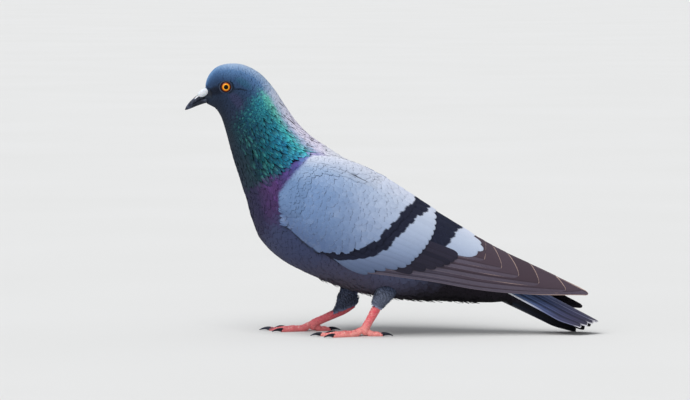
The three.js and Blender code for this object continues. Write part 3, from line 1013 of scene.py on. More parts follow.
class Graph:
    """A short way to write a node tree."""

    def __init__(self, tree: bpy.types.NodeTree) -> None:
        """Takes the tree to write in."""
        self.tree = tree

    def node(self, kind: str, **settings: object) -> bpy.types.Node:
        """Adds a node and sets its properties."""
        node = self.tree.nodes.new(kind)
        for key, value in settings.items():
            setattr(node, key, value)
        return node

    def feed(self, socket: Socket, value: Value) -> None:
        """Links a socket to a field, or sets its value."""
        if isinstance(value, Field):
            self.tree.links.new(value.socket, socket)
        elif isinstance(value, (tuple, list)) and socket.type == "RGBA":
            socket.default_value = (*value[:3], 1.0)
        else:
            socket.default_value = value

    def made(self, kind: str, *values: Value, **settings: object) -> Field:
        """Adds a node, feeds its inputs in order and gives its first output."""
        node = self.node(kind, **settings)
        for socket, value in zip(node.inputs, values):
            self.feed(socket, value)
        return Field(self, node.outputs[0])

    def named(self, kind: str, inputs: dict[str, Value], **settings: object) -> dict[str, Field]:
        """Adds a node, feeds its inputs by name and gives its outputs by name."""
        node = self.node(kind, **settings)
        for key, value in inputs.items():
            self.feed(node.inputs[key], value)
        return {socket.name: Field(self, socket) for socket in node.outputs}

    def math(self, operation: str, a: Value, b: Value = 0.0) -> Field:
        """One sum of up to two numbers."""
        return self.made("ShaderNodeMath", a, b, operation=operation)

    def mix(self, share: Value, a: Value, b: Value, blend: str = "MIX") -> Field:
        """Mixes two colours."""
        node = self.node("ShaderNodeMix", data_type="RGBA", blend_type=blend, clamp_factor=True)
        for place, value in ((0, share), (6, a), (7, b)):
            self.feed(node.inputs[place], value)
        return Field(self, node.outputs[2])

    def tint(self, colour: Value, share: Value, red: int, green: int, blue: int) -> Field:
        """Moves a colour by a share towards a display colour."""
        return self.mix(share, colour, paint(red, green, blue))

    def tints(self, colour: Value, *layers: tuple[Value, int, int, int]) -> Value:
        """Tints a colour by each layer in turn."""
        for layer in layers:
            colour = self.tint(colour, *layer)
        return colour

    def darken(self, colour: Value, share: Value) -> Field:
        """A colour times a number."""
        grey = self.made("ShaderNodeCombineColor", share, share, share)
        return self.mix(1.0, colour, grey, "MULTIPLY")

    def between(self, value: Value, low: float, high: float) -> Field:
        """Goes smoothly from 0 at low to 1 at high; low may be the greater."""
        ends = (low, high, 0.0, 1.0) if low < high else (high, low, 1.0, 0.0)
        return self.made("ShaderNodeMapRange", value, *ends, interpolation_type="SMOOTHSTEP")

    def ramp(self, value: Value, stops: Stops) -> Field:
        """A colour ramp with its stops as (place, red, green, blue)."""
        node = self.node("ShaderNodeValToRGB")
        elements = node.color_ramp.elements
        while len(elements) < len(stops):
            elements.new(1.0)
        for element, (place, *rgb) in zip(elements, stops):
            element.position = place
            element.color = (*paint(*rgb), 1.0)
        self.feed(node.inputs[0], value)
        return Field(self, node.outputs[0])

    def line(self, value: Value, heights: Sequence[float]) -> Field:
        """A smooth curve through evenly spaced heights between 0 and 1."""
        node = self.node("ShaderNodeFloatCurve")
        curve = node.mapping.curves[0]
        last = len(heights) - 1
        curve.points[0].location = (0, heights[0])
        curve.points[1].location = (1, heights[-1])
        for i, height in enumerate(heights[1:-1], start=1):
            curve.points.new(i / last, height)
        node.mapping.update()
        self.feed(node.inputs[1], value)
        return Field(self, node.outputs[0])

    def split(self, vector: Field) -> list[Field]:
        """A vector's three numbers."""
        node = self.node("ShaderNodeSeparateXYZ")
        self.feed(node.inputs[0], vector)
        return [Field(self, socket) for socket in node.outputs]

    def attribute(self, name: str) -> list[Field]:
        """The three numbers of an attribute."""
        return self.split(self.named("ShaderNodeAttribute", {}, attribute_name=name)["Vector"])

    def under(self) -> Field:
        """1 on a feather's lower face and 0 on its upper one."""
        face = self.named("ShaderNodeAttribute", {}, attribute_name="under")["Fac"]
        return self.between(face, 0.2, -0.2)

    def place(self) -> Field:
        """The point on the piece."""
        return self.named("ShaderNodeTexCoord", {})["Object"]

    def noise(self, where: Value, scale: float, detail: float = 2.0, rough: float = 0.5) -> Field:
        """Noise from 0 to 1."""
        node = self.node("ShaderNodeTexNoise")
        for key, value in {"Vector": where, "Scale": scale, "Detail": detail, "Roughness": rough}.items():
            self.feed(node.inputs[key], value)
        return Field(self, node.outputs[0])

    def vector(self, x: Value, y: Value, z: Value) -> Field:
        """Three numbers as a vector."""
        return self.made("ShaderNodeCombineXYZ", x, y, z)


class SharedGroup(ABC):
    """A shader node group that is built once and used by more than one material."""

    name = ""
    inputs: dict[str, float] = {}
    outputs: tuple[str, ...] = ()

    @abstractmethod
    def write(self, graph: Graph, given: dict[str, Field]) -> dict[str, Field]:
        """Writes the inside and returns what feeds each output."""

    def tree(self) -> bpy.types.NodeTree:
        """The group's tree, built at its first use."""
        if self.name in bpy.data.node_groups:
            return bpy.data.node_groups[self.name]
        tree = bpy.data.node_groups.new(self.name, "ShaderNodeTree")
        for key, value in self.inputs.items():
            socket = tree.interface.new_socket(key, in_out="INPUT", socket_type="NodeSocketFloat")
            socket.default_value = value
        for key in self.outputs:
            kind = "NodeSocketColor" if key == "Color" else "NodeSocketFloat"
            tree.interface.new_socket(key, in_out="OUTPUT", socket_type=kind)
        graph = Graph(tree)
        made = self.write(graph, graph.named("NodeGroupInput", {}))
        graph.named("NodeGroupOutput", made)
        return tree

    def used(self, graph: Graph, **inputs: Value) -> dict[str, Field]:
        """Places the group; spaces in its socket names are underscores here."""
        named = {key.replace("_", " "): value for key, value in inputs.items()}
        return graph.named("ShaderNodeGroup", named, node_tree=self.tree())


class BarbGroup(SharedGroup):
    """The fine build of a vane: its shaft, and barbs that slant to the tip."""

    name = "feather_barbs"
    inputs = {"Along": 0.0, "Across": 0.0, "Seed": 0.0, "Pitch": 0.6, "Shaft Width": 0.25}
    outputs = ("Height", "Shaft", "Streak")

    def write(self, graph: Graph, given: dict[str, Field]) -> dict[str, Field]:
        """Writes the inside."""
        out = abs(given["Across"])
        slant = given["Along"] - out * 0.9
        where = graph.vector(slant, given["Across"] * 0.15, given["Seed"] * 91.0)
        drift = graph.noise(where, 0.9, 3.0, 0.6)
        wave = graph.math("SINE", (slant + drift * 1.4) / given["Pitch"] * math.tau)
        shaft = (1.0 - out / graph.math("MAXIMUM", given["Shaft Width"], 0.01)).clamped()
        height = wave * 0.35 + drift * 0.8 + shaft * 1.2
        return {"Height": height, "Shaft": shaft, "Streak": wave * 0.25 + drift}


class BodyMarkings(SharedGroup):
    """The colours of head, neck and body by place: station, and 0 to 1 from back to belly.

    Each zone is a row of (place around, red, green, blue), pale at the back and dark at the belly:
    partly the bird's own colours, partly painted top light on the back and painted shade beneath.
    Each border between two zones gives its station a third of the way around, its station four
    fifths around, and half its width. Each spot gives its place, its two sizes, its slope, its
    strength and its colour. Each glint gives the seeds where it is least and most, its strength
    and its colour.
    """

    name = "body_markings"
    inputs = {
        "Station": 0.0, "Around": 0.0, "Vary": 0.5, "Depth": 1.0, "Here Station": 0.0, "Here Around": 0.0
    }
    outputs = ("Color", "Sheen", "Neck")
    # Pale at the back to dark at the belly: partly own colour, partly painted top light and painted shade
    # beneath.
    zones = (
        ((0, 110, 148, 190), (0.13, 102, 140, 184), (0.25, 66, 98, 140), (0.36, 46, 70, 104))
        + ((0.5, 34, 48, 70), (0.66, 36, 46, 64), (1, 40, 48, 62)),
        ((0, 176, 196, 222), (0.13, 154, 180, 214), (0.24, 88, 124, 168), (0.38, 50, 78, 114))
        + ((0.5, 42, 58, 84), (0.66, 40, 52, 74), (0.85, 36, 45, 57), (1, 38, 46, 58)),
        ((0, 212, 218, 234), (0.15, 206, 212, 232), (0.22, 168, 190, 214), (0.28, 118, 222, 204))
        + ((0.36, 48, 150, 168), (0.5, 26, 96, 116), (0.64, 26, 62, 76), (0.8, 36, 50, 62), (1, 44, 52, 64)),
        ((0, 226, 220, 240), (0.18, 224, 220, 240), (0.24, 164, 184, 216), (0.3, 80, 208, 214))
        + ((0.38, 36, 142, 180), (0.46, 12, 112, 138), (0.55, 6, 90, 98), (0.64, 14, 62, 70))
        + ((0.72, 34, 54, 64), (1, 44, 50, 66)),
        ((0, 236, 232, 246), (0.17, 232, 228, 246), (0.26, 164, 160, 212), (0.33, 104, 116, 180))
        + ((0.42, 70, 74, 136), (0.5, 66, 54, 108), (0.6, 78, 52, 100), (0.7, 66, 50, 88))
        + ((0.78, 48, 46, 74), (1, 46, 48, 68)),
        ((0, 234, 236, 246), (0.22, 222, 228, 242), (0.34, 124, 134, 176), (0.5, 66, 80, 118))
        + ((0.7, 64, 72, 104), (0.88, 66, 70, 98), (1, 64, 66, 84)),
        ((0, 216, 222, 238), (0.25, 170, 180, 206), (0.48, 88, 100, 132), (0.68, 76, 76, 100))
        + ((0.85, 72, 68, 80), (1, 56, 52, 60)),
        ((0, 190, 198, 216), (0.3, 96, 108, 136), (0.48, 44, 43, 55), (0.6, 32, 27, 36))
        + ((0.78, 18, 15, 21), (1, 11, 10, 14)),
    )
    borders = (
        (2.4, 2.9, 0.8), (5.35, 4.7, 0.5), (7.0, 7.2, 0.9), (9.25, 8.9, 0.3), (10.05, 11.3, 0.5),
        (13.2, 13.6, 1.2), (16.6, 16.0, 0.9),
    )
    spots = (
        (1.6, 0.53, 1.5, 0.075, 0.0, 0.85, (16, 22, 36)),
        (4.34, 0.452, 0.6, 0.012, 0.077, 0.75, (14, 22, 36)),
        (4.5, 0.55, 0.9, 0.05, 0.0, 0.3, (74, 66, 104)),
        (4.4, 0.36, 0.7, 0.05, 0.0, 0.3, (44, 104, 124)),
    )
    green_glints = ((0.6, 1.0, 0.22, (110, 220, 206)), (0.4, 0.0, 0.35, (30, 44, 96)))
    purple_glints = ((0.6, 1.0, 0.25, (112, 74, 150)), (0.4, 0.0, 0.4, (44, 42, 76)))

    def write(self, graph: Graph, given: dict[str, Field]) -> dict[str, Field]:
        """Writes the inside."""
        around, vary = given["Around"], given["Vary"]
        station = given["Station"] + (vary * 0.3 - 0.15)
        colour, *ramps = (graph.ramp(around, zone) for zone in self.zones)
        passed = []
        for ramp, (back, belly, width) in zip(ramps, self.borders):
            place = (around - 0.3) * ((back - belly) / 0.5) + station
            passed.append(graph.between(place, back - width, back + width))
            colour = graph.mix(passed[-1], colour, ramp)
        for p, q, wide, high, slope, share, spot in self.spots:
            off_p = given["Here Station"] - p
            off_q = (off_p * slope + (given["Here Around"] - q)) / high
            off_p = off_p / wide
            mask = graph.between(off_p * off_p + off_q * off_q, 1.3, 0.2)
            colour = graph.tint(colour, mask * share, *spot)
        side = graph.between(around, 0.2, 0.3) * graph.between(around, 0.78, 0.6)
        green = (passed[1] - passed[3]).clamped() * side
        purple = (passed[3] - passed[4]).clamped() * side
        for mask, glints in ((green, self.green_glints), (purple, self.purple_glints)):
            for least, most, share, glint in glints:
                colour = graph.tint(colour, mask * graph.between(vary, least, most) * share, *glint)
        # Painted shade: darkened by up to half where this input is low, towards each feather's root and on
        # the skin between feathers; partly the real greyer feather base.
        colour = graph.darken(colour, (given["Depth"] * 0.5 + 0.5).clamped())
        return {"Color": colour, "Sheen": (purple * 0.6 + green).clamped(), "Neck": green}


class WingGround(SharedGroup):
    """The pale blue-grey of the wing by place, lighter towards the rear, with painted top light:
    lighter towards the back and darker at the low edge.

    A line of painted shade lies along the fold between wing and back, which runs from start to end
    down the wing, at a height and a slope.
    """

    name = "wing_ground"
    # Dark at the low edge to near white at the top: painted top light and painted shade over the wing's pale
    # grey; far_rise is the same towards the rear.
    rise = (
        (0.0, 84, 102, 140), (0.3, 104, 130, 170), (0.6, 110, 137, 176), (0.8, 152, 174, 206),
        (1.0, 230, 234, 248),
    )
    far_rise = (
        (0.0, 74, 90, 120), (0.12, 104, 120, 152), (0.3, 142, 159, 190), (0.6, 176, 189, 212),
        (0.8, 194, 205, 224), (1.0, 222, 228, 244),
    )
    fold_start, fold_end, fold_height, fold_slope, fold_width = 0.25, 1.82, 0.86, 0.035, 0.006
    inputs = {"Down": 0.0, "Up": 0.5, "Vary": 0.5, "Here Down": 0.0, "Here Up": 0.0}
    outputs = ("Color",)

    def write(self, graph: Graph, given: dict[str, Field]) -> dict[str, Field]:
        """Writes the inside: the ground with painted top light, small differences, and the fold's painted
        shade.
        """
        down, up = given["Here Down"], given["Here Up"]
        near, far = (graph.ramp(given["Up"], rows) for rows in (self.rise, self.far_rise))
        colour = graph.mix(graph.between(given["Down"], 0.6, 2.8), near, far)
        cloud = graph.noise(graph.vector(down * 2.2, up * 9.0, 0.5), 1.3) * 0.36 - 0.2
        vary = given["Vary"] * 0.08 + (cloud - 0.04)
        colour = graph.tint(colour, graph.math("MAXIMUM", vary * -1.0), 88, 104, 138)
        colour = graph.tint(colour, graph.math("MAXIMUM", vary), 214, 220, 234)
        # Painted shade along the fold between wing and back, darker towards the rear.
        start = graph.between(down, self.fold_start - 0.05, self.fold_start + 0.1)
        span = start * graph.between(down, self.fold_end + 0.03, self.fold_end - 0.05)
        off = abs(down * self.fold_slope + up - (self.fold_height + self.fold_slope * 1.2))
        fold_shade_strength = graph.between(down, 1.3, 1.5) * 0.65 + 0.22
        fold = graph.between(off, self.fold_width, self.fold_width * 0.4) * span * fold_shade_strength
        return {"Color": graph.tint(colour, fold, 22, 26, 40)}


class ScaleGrain(SharedGroup):
    """Small rounded scales or wrinkles of bare skin."""

    name = "scale_grain"
    inputs = {"Scale": 900.0}
    outputs = ("Height", "Crack", "Cell")

    def write(self, graph: Graph, given: dict[str, Field]) -> dict[str, Field]:
        """Writes the inside."""
        inputs = {"Vector": graph.place(), "Scale": given["Scale"]}
        edge = graph.named("ShaderNodeTexVoronoi", inputs, feature="DISTANCE_TO_EDGE")["Distance"]
        tint = graph.named("ShaderNodeTexVoronoi", inputs, feature="F1")["Color"]
        cell = graph.made("ShaderNodeSeparateColor", tint)
        crack = graph.between(edge, 0.1, 0.0)
        return {"Height": graph.between(edge, 0.0, 0.28), "Crack": crack, "Cell": cell}


BARBS, BODY_MARKINGS, WING_GROUND, SCALE_GRAIN = BarbGroup(), BodyMarkings(), WingGround(), ScaleGrain()


# ------------------------------------------------------------------ finishes


@dataclass(frozen=True)
class Surface:
    """The plain shader values of a finish."""

    roughness: float = 0.7
    specular: float = 0.35
    subsurface: float = 0.0

    def shader(self, graph: Graph) -> bpy.types.Node:
        """Adds the Principled shader and the output."""
        shader = graph.node("ShaderNodeBsdfPrincipled")
        shader.inputs["Roughness"].default_value = self.roughness
        shader.inputs["Specular IOR Level"].default_value = self.specular
        shader.inputs["Subsurface Weight"].default_value = self.subsurface
        shader.inputs["Subsurface Scale"].default_value = MM
        graph.named("ShaderNodeOutputMaterial", {"Surface": Field(graph, shader.outputs[0])})
        return shader


class Finish(ABC):
    """A named material."""

    name = ""
    surface = Surface()
    bump = 0.2
    depth_mm = 0.1

    @abstractmethod
    def write(self, graph: Graph) -> dict[str, Field]:
        """What feeds the shader's inputs, by name, and the bump's Height."""

    def material(self) -> bpy.types.Material:
        """The material, built at its first use."""
        name = f"look_{self.name}"
        if name in bpy.data.materials:
            return bpy.data.materials[name]
        material = bpy.data.materials.new(name)
        material.use_nodes = True
        material.node_tree.nodes.clear()
        graph = Graph(material.node_tree)
        shader = self.surface.shader(graph)
        made = self.write(graph)
        bump = {"Strength": self.bump, "Distance": self.depth_mm * MM, "Height": made.pop("Height")}
        made["Normal"] = graph.named("ShaderNodeBump", bump)["Normal"]
        for key, value in made.items():
            graph.feed(shader.inputs[key], value)
        return material


class FeatherFinish(Finish):
    """What all feathers share: barbs and a shaft."""

    pitch = 0.5
    shaft_width = 0.15
    bump = 0.5
    depth_mm = 0.08
    surface = Surface(roughness=0.8, specular=0.12)

    def barbs(self, graph: Graph, seed: Field) -> dict[str, Field]:
        """The barbs at this finish's sizes."""
        along, across, _ = graph.attribute("vane")
        sizes = {"Pitch": self.pitch, "Shaft_Width": self.shaft_width}
        return BARBS.used(graph, Along=along, Across=across, Seed=seed, **sizes)


class BodyPlumage(FeatherFinish):
    """The coat of head, neck and body, coloured by each feather's root."""

    name = "body_plumage"

    def write(self, graph: Graph) -> dict[str, Field]:
        """The markings, the wing's ground over the shoulders, the neck's gloss, and painted shade between
        feathers.
        """
        station, angle, seed = graph.attribute("root")
        here, here_angle, along = graph.attribute("place")
        down, up, share = graph.attribute("wing")
        # Painted shade towards each feather's root, where the next row covers it; partly the real greyer
        # base.
        depth = graph.between(along, 0.1, 0.75)
        marks = BODY_MARKINGS.used(
            graph, Station=station, Around=abs(angle) / math.pi, Vary=seed, Depth=depth,
            Here_Station=here, Here_Around=abs(here_angle) / math.pi,
        )
        ground = WING_GROUND.used(graph, Down=down, Up=up, Vary=seed, Here_Down=down, Here_Up=up)
        # Painted shade on the shoulder feathers in the wing's colours, darker towards the root.
        wing = graph.darken(ground["Color"], (depth * 0.2 + 0.8).clamped())
        colour = graph.mix(share, marks["Color"], wing)
        body = (1.0 - share).clamped()
        # Painted shade between the neck's feathers: dark along each rim and away from the tip.
        rim = graph.between(graph.attribute("vane")[2], 0.3, 0.0)
        gap = graph.math("MAXIMUM", rim, graph.between(along, 0.95, 0.5))
        colour = graph.tint(colour, gap * marks["Neck"] * body * 0.62, 6, 18, 32)
        barbs = self.barbs(graph, seed)
        streak = (barbs["Streak"] * 0.5 + 0.1).clamped()
        colour = graph.darken(colour, (1.0 - streak * 0.32).clamped())
        sheen = marks["Sheen"] * body
        gloss = {"Roughness": 0.78 - sheen * 0.26, "Metallic": sheen * 0.3}
        return {"Base Color": colour, **gloss, "Height": barbs["Height"]}


def far_side(graph: Graph) -> Field:
    """How much painted shade deepens the red on the right leg, the far one."""
    return graph.between(graph.split(graph.place())[1], -0.002, 0.002) * 0.42


class SkinFinish(Finish):
    """One skin: down in the coat's colours, red scaly legs and a grey ring round each eye."""

    name = "pigeon_skin"
    surface = Surface(roughness=0.6, specular=0.35)
    bump = 0.6
    depth_mm = 0.25
    reds = ((0.0, 240, 82, 100), (0.6, 248, 116, 124), (1.0, 252, 144, 140))

    def write(self, graph: Graph) -> dict[str, Field]:
        """Colour and gloss by zone."""
        station, angle, vary = graph.attribute("root")
        leg, ring, foot = graph.attribute("zone")
        around = abs(angle) / math.pi
        # The down takes the body's colours with painted shade, as it shows only in the gaps between feathers.
        marks = BODY_MARKINGS.used(
            graph, Station=station, Around=around, Vary=vary, Depth=0.45,
            Here_Station=station, Here_Around=around,
        )
        grain = SCALE_GRAIN.used(graph, Scale=1100.0)
        red = graph.tints(
            graph.ramp(foot, self.reds),
            (grain["Cell"] * 0.5, 255, 190, 178),
            # Painted shade: the right leg deeper red.
            (far_side(graph), 196, 36, 78),
            (grain["Crack"] * 0.45, 120, 24, 44),
        )
        grey = graph.mix(grain["Crack"], paint(44, 54, 76), paint(26, 32, 46))
        colour = graph.mix(ring, graph.mix(leg, marks["Color"], red), grey)
        bare = graph.math("MAXIMUM", leg, ring)
        height = grain["Height"] * (bare * 0.9 + 0.1)
        return {"Base Color": colour, "Roughness": 0.78 - bare * 0.22, "Height": height}


class ScuteFinish(Finish):
    """The broad plates on the front of the legs and the top of the toes."""

    name = "leg_scutes"
    surface = Surface(roughness=0.4, specular=0.45)
    bump = 0.4
    depth_mm = 0.12
    reds = ((0.25, 214, 50, 76), (0.48, 248, 112, 116), (0.68, 255, 206, 192))

    def write(self, graph: Graph) -> dict[str, Field]:
        """Colour and gloss."""
        along, _, rim = graph.attribute("vane")
        seed, share = graph.attribute("root")[2], graph.attribute("place")[2]
        blotch = graph.noise(graph.place(), 420.0, 3.0, 0.6)
        colour = graph.ramp(seed * 0.5 + blotch * 0.5, self.reds)
        # Painted shade: the right leg's plates deeper red.
        colour = graph.tint(colour, far_side(graph), 186, 34, 64)
        # Painted highlight: pale rims towards each plate's end.
        pale = graph.between(rim, 0.35, 0.0) * graph.between(share, 0.5, 0.95)
        colour = graph.tint(colour, pale * 0.75, 250, 196, 188)
        height = blotch * 0.6 + along * 0.05
        return {"Base Color": colour, "Roughness": blotch * 0.25 + 0.3, "Height": height}


# Where the wing's markings lie, in wing sections, at even steps from its low edge to its top.
BAR_ONE_FRONT = np.array([1.10, 2.39, 2.74, 2.92, 3.00])
BAR_ONE_REAR = np.array([1.10, 2.25, 2.76, 2.88, 3.00, 3.10, 3.20, 3.29, 3.38])
COVERTS_END = np.array([2.45, 3.25, 3.45, 3.55, 3.60, 3.62, 3.60, 3.53, 3.44])
BAR_TWO_REAR = np.array([3.90, 4.00, 4.03, 4.07, 4.17])
WING_SECTIONS = 7.0


def marking(graph: Graph, up: Field, line: Array) -> Field:
    """Where a marking lies, in wing sections, at a height on the wing."""
    return graph.line(up, line / WING_SECTIONS) * WING_SECTIONS


def bar_black(graph: Graph, streak: Field) -> Field:
    """The wing bars' black."""
    return graph.mix(streak, paint(16, 19, 32), paint(40, 44, 64))


class QuillFinish(FeatherFinish):
    """A feather finish that sets nothing but the colour."""

    @abstractmethod
    def colour(self, graph: Graph, barbs: dict[str, Field], seed: Field) -> Field:
        """The feathers' colour."""

    def write(self, graph: Graph) -> dict[str, Field]:
        """Colour, over the barbs' relief."""
        seed = graph.attribute("root")[2]
        barbs = self.barbs(graph, seed)
        return {"Base Color": self.colour(graph, barbs, seed), "Height": barbs["Height"]}


class CovertFinish(QuillFinish):
    """The small and middle wing coverts: pale blue-grey."""

    name = "covert_feathers"
    pitch = 0.7

    def colour(self, graph: Graph, barbs: dict[str, Field], seed: Field) -> Field:
        """The ground, with painted shade at the roots and painted shadow at the low edge, up to the first
        bar.
        """
        down, up, _ = graph.attribute("root")
        here_down, here_up, along = graph.attribute("place")
        rim, streak = graph.attribute("vane")[2], barbs["Streak"]
        ground = WING_GROUND.used(graph, Down=down, Up=up, Vary=seed, Here_Down=here_down, Here_Up=here_up)
        light = graph.between(rim, 0.9, 0.0) * graph.between(along, 0.6, 0.95)
        # Painted shadow: a dark line along the wing's low edge, where it stands off the body.
        low_edge_shadow = graph.between(here_up, 0.034, 0.012) * graph.between(here_down, 1.9, 1.4)
        colour = graph.tints(
            ground["Color"],
            # Painted shade towards each covert's root, where the next one covers it; partly its real greyer
            # base.
            (graph.between(along, 0.55, 0.1) * 0.2, 70, 82, 110),
            (light * 0.12, 214, 222, 238),
            (streak * 0.26, 78, 96, 134),
            (low_edge_shadow * 0.85, 20, 22, 34),
        )
        bar = marking(graph, here_up, BAR_ONE_FRONT) + (seed * 0.09 + (streak * 0.05 - 0.17))
        return graph.mix(graph.between(here_down - bar, -0.01, 0.02), colour, bar_black(graph, streak))


class BarredFinish(QuillFinish):
    """Feathers black at the base and pale at the end, parted along a line across the wing."""

    pitch = 0.8
    shaft_width = 0.3
    surface = Surface(roughness=0.75, specular=0.1)
    rear = BAR_ONE_REAR
    ragged = 0.07

    def colour(self, graph: Graph, barbs: dict[str, Field], seed: Field) -> Field:
        """Black up to the bar's rear edge, then the wing's ground."""
        down, up, _ = graph.attribute("place")
        streak = barbs["Streak"]
        tooth = abs(graph.attribute("vane")[1]) * 0.011 + streak * 0.05
        edge = marking(graph, up, self.rear) + (seed - 0.5) * self.ragged - tooth
        # The wing's ground, with its painted top light.
        ground = WING_GROUND.used(graph, Down=3.0, Up=up * 0.95 + 0.02, Vary=seed)
        pale = graph.tint(ground["Color"], streak * 0.2, 112, 122, 146)
        return graph.mix(graph.between(down - edge, -0.015, 0.02), bar_black(graph, streak), pale)


class GreaterCovertFinish(BarredFinish):
    """The large coverts, which make the first bar."""

    name = "greater_covert_feathers"


class TertialFinish(BarredFinish):
    """The innermost flight feathers, which make the second bar."""

    name = "tertial_feathers"
    rear = BAR_TWO_REAR
    ragged = 0.1


class SecondaryFinish(QuillFinish):
    """The secondaries: brown-black."""

    name = "secondary_feathers"
    pitch = 0.8
    shaft_width = 0.35
    surface = Surface(roughness=0.6, specular=0.15)

    def colour(self, graph: Graph, barbs: dict[str, Field], seed: Field) -> Field:
        """Brown-black with a paler rim."""
        return graph.tints(
            graph.mix(seed, paint(32, 32, 48), paint(46, 44, 60)),
            (barbs["Streak"] * 0.4, 26, 22, 32),
            (graph.between(graph.attribute("vane")[2], 0.5, 0.0) * 0.35, 120, 104, 112),
            (barbs["Shaft"] * 0.5, 30, 26, 32),
        )


class PrimaryFinish(QuillFinish):
    """The primaries: brown-grey, with a thin buff line round each tip."""

    name = "primary_feathers"
    pitch = 0.9
    shaft_width = 0.45
    surface = Surface(roughness=0.55, specular=0.18)

    def colour(self, graph: Graph, barbs: dict[str, Field], seed: Field) -> Field:
        """Browner towards the tip, paler on the outer web, and painted shade on the lower face."""
        _, across, rim = graph.attribute("vane")
        _, up, share = graph.attribute("place")
        tip = graph.between(share, 0.72, 0.86) * graph.between(up, 0.99, 0.94)
        lower = graph.between(rim, 0.5, 0.1) * graph.between(across, 0.0, -1.0)
        return graph.tints(
            graph.mix(seed, paint(66, 54, 64), paint(80, 68, 80)),
            (graph.between(share, 0.6, 0.3) * 0.5, 88, 88, 110),
            (graph.between(across, 0.2, -1.2) * 0.55, 114, 108, 126),
            (graph.between(share, 0.6, 1.0) * 0.4, 62, 46, 52),
            (barbs["Streak"] * 0.4, 46, 36, 46),
            (barbs["Shaft"] * 0.75, 28, 20, 26),
            (graph.between(rim, 0.68, 0.36) * tip * 0.85, 206, 178, 164),
            (lower * 0.4, 150, 136, 144),
            # Painted shade on the lower face.
            (graph.under(), 24, 20, 26),
        )


class TailFinish(QuillFinish):
    """The tail feathers: blue-grey with a black end, the outer webs white."""

    name = "tail_feathers"
    fade = (
        (0.0, 104, 130, 176), (0.35, 100, 124, 172), (0.55, 80, 94, 138), (0.7, 68, 72, 106),
        (0.85, 62, 60, 88), (0.95, 58, 56, 74),
    )
    pitch = 0.9
    shaft_width = 0.5
    surface = Surface(roughness=0.55, specular=0.18)

    def colour(self, graph: Graph, barbs: dict[str, Field], seed: Field) -> Field:
        """Darker to the end, painted shadow on the inner webs, pale edges, worn tips and painted shade on the
        lower face.
        """
        _, across, rim = graph.attribute("vane")
        down, sideways, share = graph.attribute("place")
        outward = graph.math("SIGN", sideways) * across
        edge = graph.between(rim, 1.0, 0.2) * graph.between(outward, 0.0, 1.0)
        white = graph.between(abs(sideways), 0.945, 0.975) * graph.between(share, 0.65, 0.25)
        worn = graph.between(rim, 1.3, 0.3) * graph.between(share, 0.9, 0.98)
        return graph.tints(
            graph.ramp(down + (seed - 0.5) * 0.05, self.fade),
            (barbs["Streak"] * 0.35, 24, 26, 38),
            # Painted shadow on the inner webs, which lie under the next feather.
            (graph.between(outward, -0.6, -3.0) * 0.75, 22, 24, 38),
            (barbs["Shaft"] * 0.5, 16, 16, 22),
            (edge * 0.35, 160, 166, 204),
            (white * 0.95, 246, 248, 255),
            (worn * 0.8, 226, 224, 230),
            # Painted shade on the feathers' lower face.
            (graph.under() * 0.9, 14, 13, 17),
        )


class HornFinish(Finish):
    """Bill and claws: dark horn with fine lengthwise growth lines."""

    surface = Surface(roughness=0.5, specular=0.2)
    bump = 0.35

    def __init__(self, name: str, dark: Colour, light: Colour) -> None:
        """Takes the finish's name and its two colours."""
        self.name, self.dark, self.light = name, dark, light

    def write(self, graph: Graph) -> dict[str, Field]:
        """Colour and gloss."""
        place = graph.place()
        drawn_out = graph.named("ShaderNodeMapping", {"Vector": place, "Scale": (0.25, 1.0, 1.0)})
        lines = graph.noise(drawn_out["Vector"], 1500.0, 3.0, 0.6)
        patches = graph.between(graph.noise(place, 260.0), 0.45, 0.85)
        colour = graph.mix(patches, self.dark, self.light)
        colour = graph.mix(graph.between(lines, 0.5, 0.9) * 0.4, colour, self.light)
        return {"Base Color": colour, "Roughness": lines * 0.3 + 0.36, "Height": lines}


class CereFinish(Finish):
    """The powdery white swelling over the nostrils."""

    name = "cere_skin"
    surface = Surface(roughness=0.8, specular=0.2, subsurface=0.1)
    bump = 0.5
    depth_mm = 0.15

    def write(self, graph: Graph) -> dict[str, Field]:
        """Colour."""
        grain = SCALE_GRAIN.used(graph, Scale=1600.0)
        powder = graph.noise(graph.place(), 500.0, 4.0, 0.6)
        colour = graph.mix(powder, paint(196, 204, 214), paint(240, 242, 246))
        colour = graph.tint(colour, grain["Crack"] * 0.3, 150, 150, 162)
        return {"Base Color": colour, "Height": grain["Height"] + powder}


class EyeFinish(Finish):
    """A wet eye: black pupil, yellow inner ring, orange outer ring and a dark limit."""

    name = "pigeon_eye"
    surface = Surface(roughness=0.1, specular=0.12)
    bump = 0.05
    depth_mm = 0.05
    rings = (
        (0.275, 5, 2, 2), (0.315, 110, 52, 6), (0.350, 252, 184, 46), (0.415, 250, 170, 34),
        (0.475, 222, 116, 22), (0.560, 130, 56, 20), (0.640, 44, 19, 16),
    )
    reach_mm = 5.0

    def write(self, graph: Graph) -> dict[str, Field]:
        """Colour by the distance from the eye's axis, in the attribute disc."""
        out, turn, _ = graph.attribute("disc")
        spokes = graph.noise(graph.vector(turn * 6.0, out, 0.0), 5.0, 4.0, 0.7)
        bent = out + (spokes * 0.16 - 0.08)
        return {"Base Color": graph.ramp(bent / self.reach_mm, self.rings), "Height": spokes}


# ------------------------------------------------------------------ what every piece goes through


def dress(piece: bpy.types.Object, finish: Finish, slot: str, *nodes: str) -> bpy.types.Object:
    """Gives a piece its material and ties it to the frame.

    Args:
        piece: The piece.
        finish: Its finish.
        slot: The record's material slot; not used.
        *nodes: The nodes of the solid that it stands for.

    Returns:
        The piece.
    """
    piece.data.materials.clear()
    piece.data.materials.append(finish.material())
    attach(piece, "root")
    if nodes:
        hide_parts(*nodes)
    LOG.info("%s: %d triangles", piece.name, sum(len(p.vertices) - 2 for p in piece.data.polygons))
    return piece


# ------------------------------------------------------------------ legs


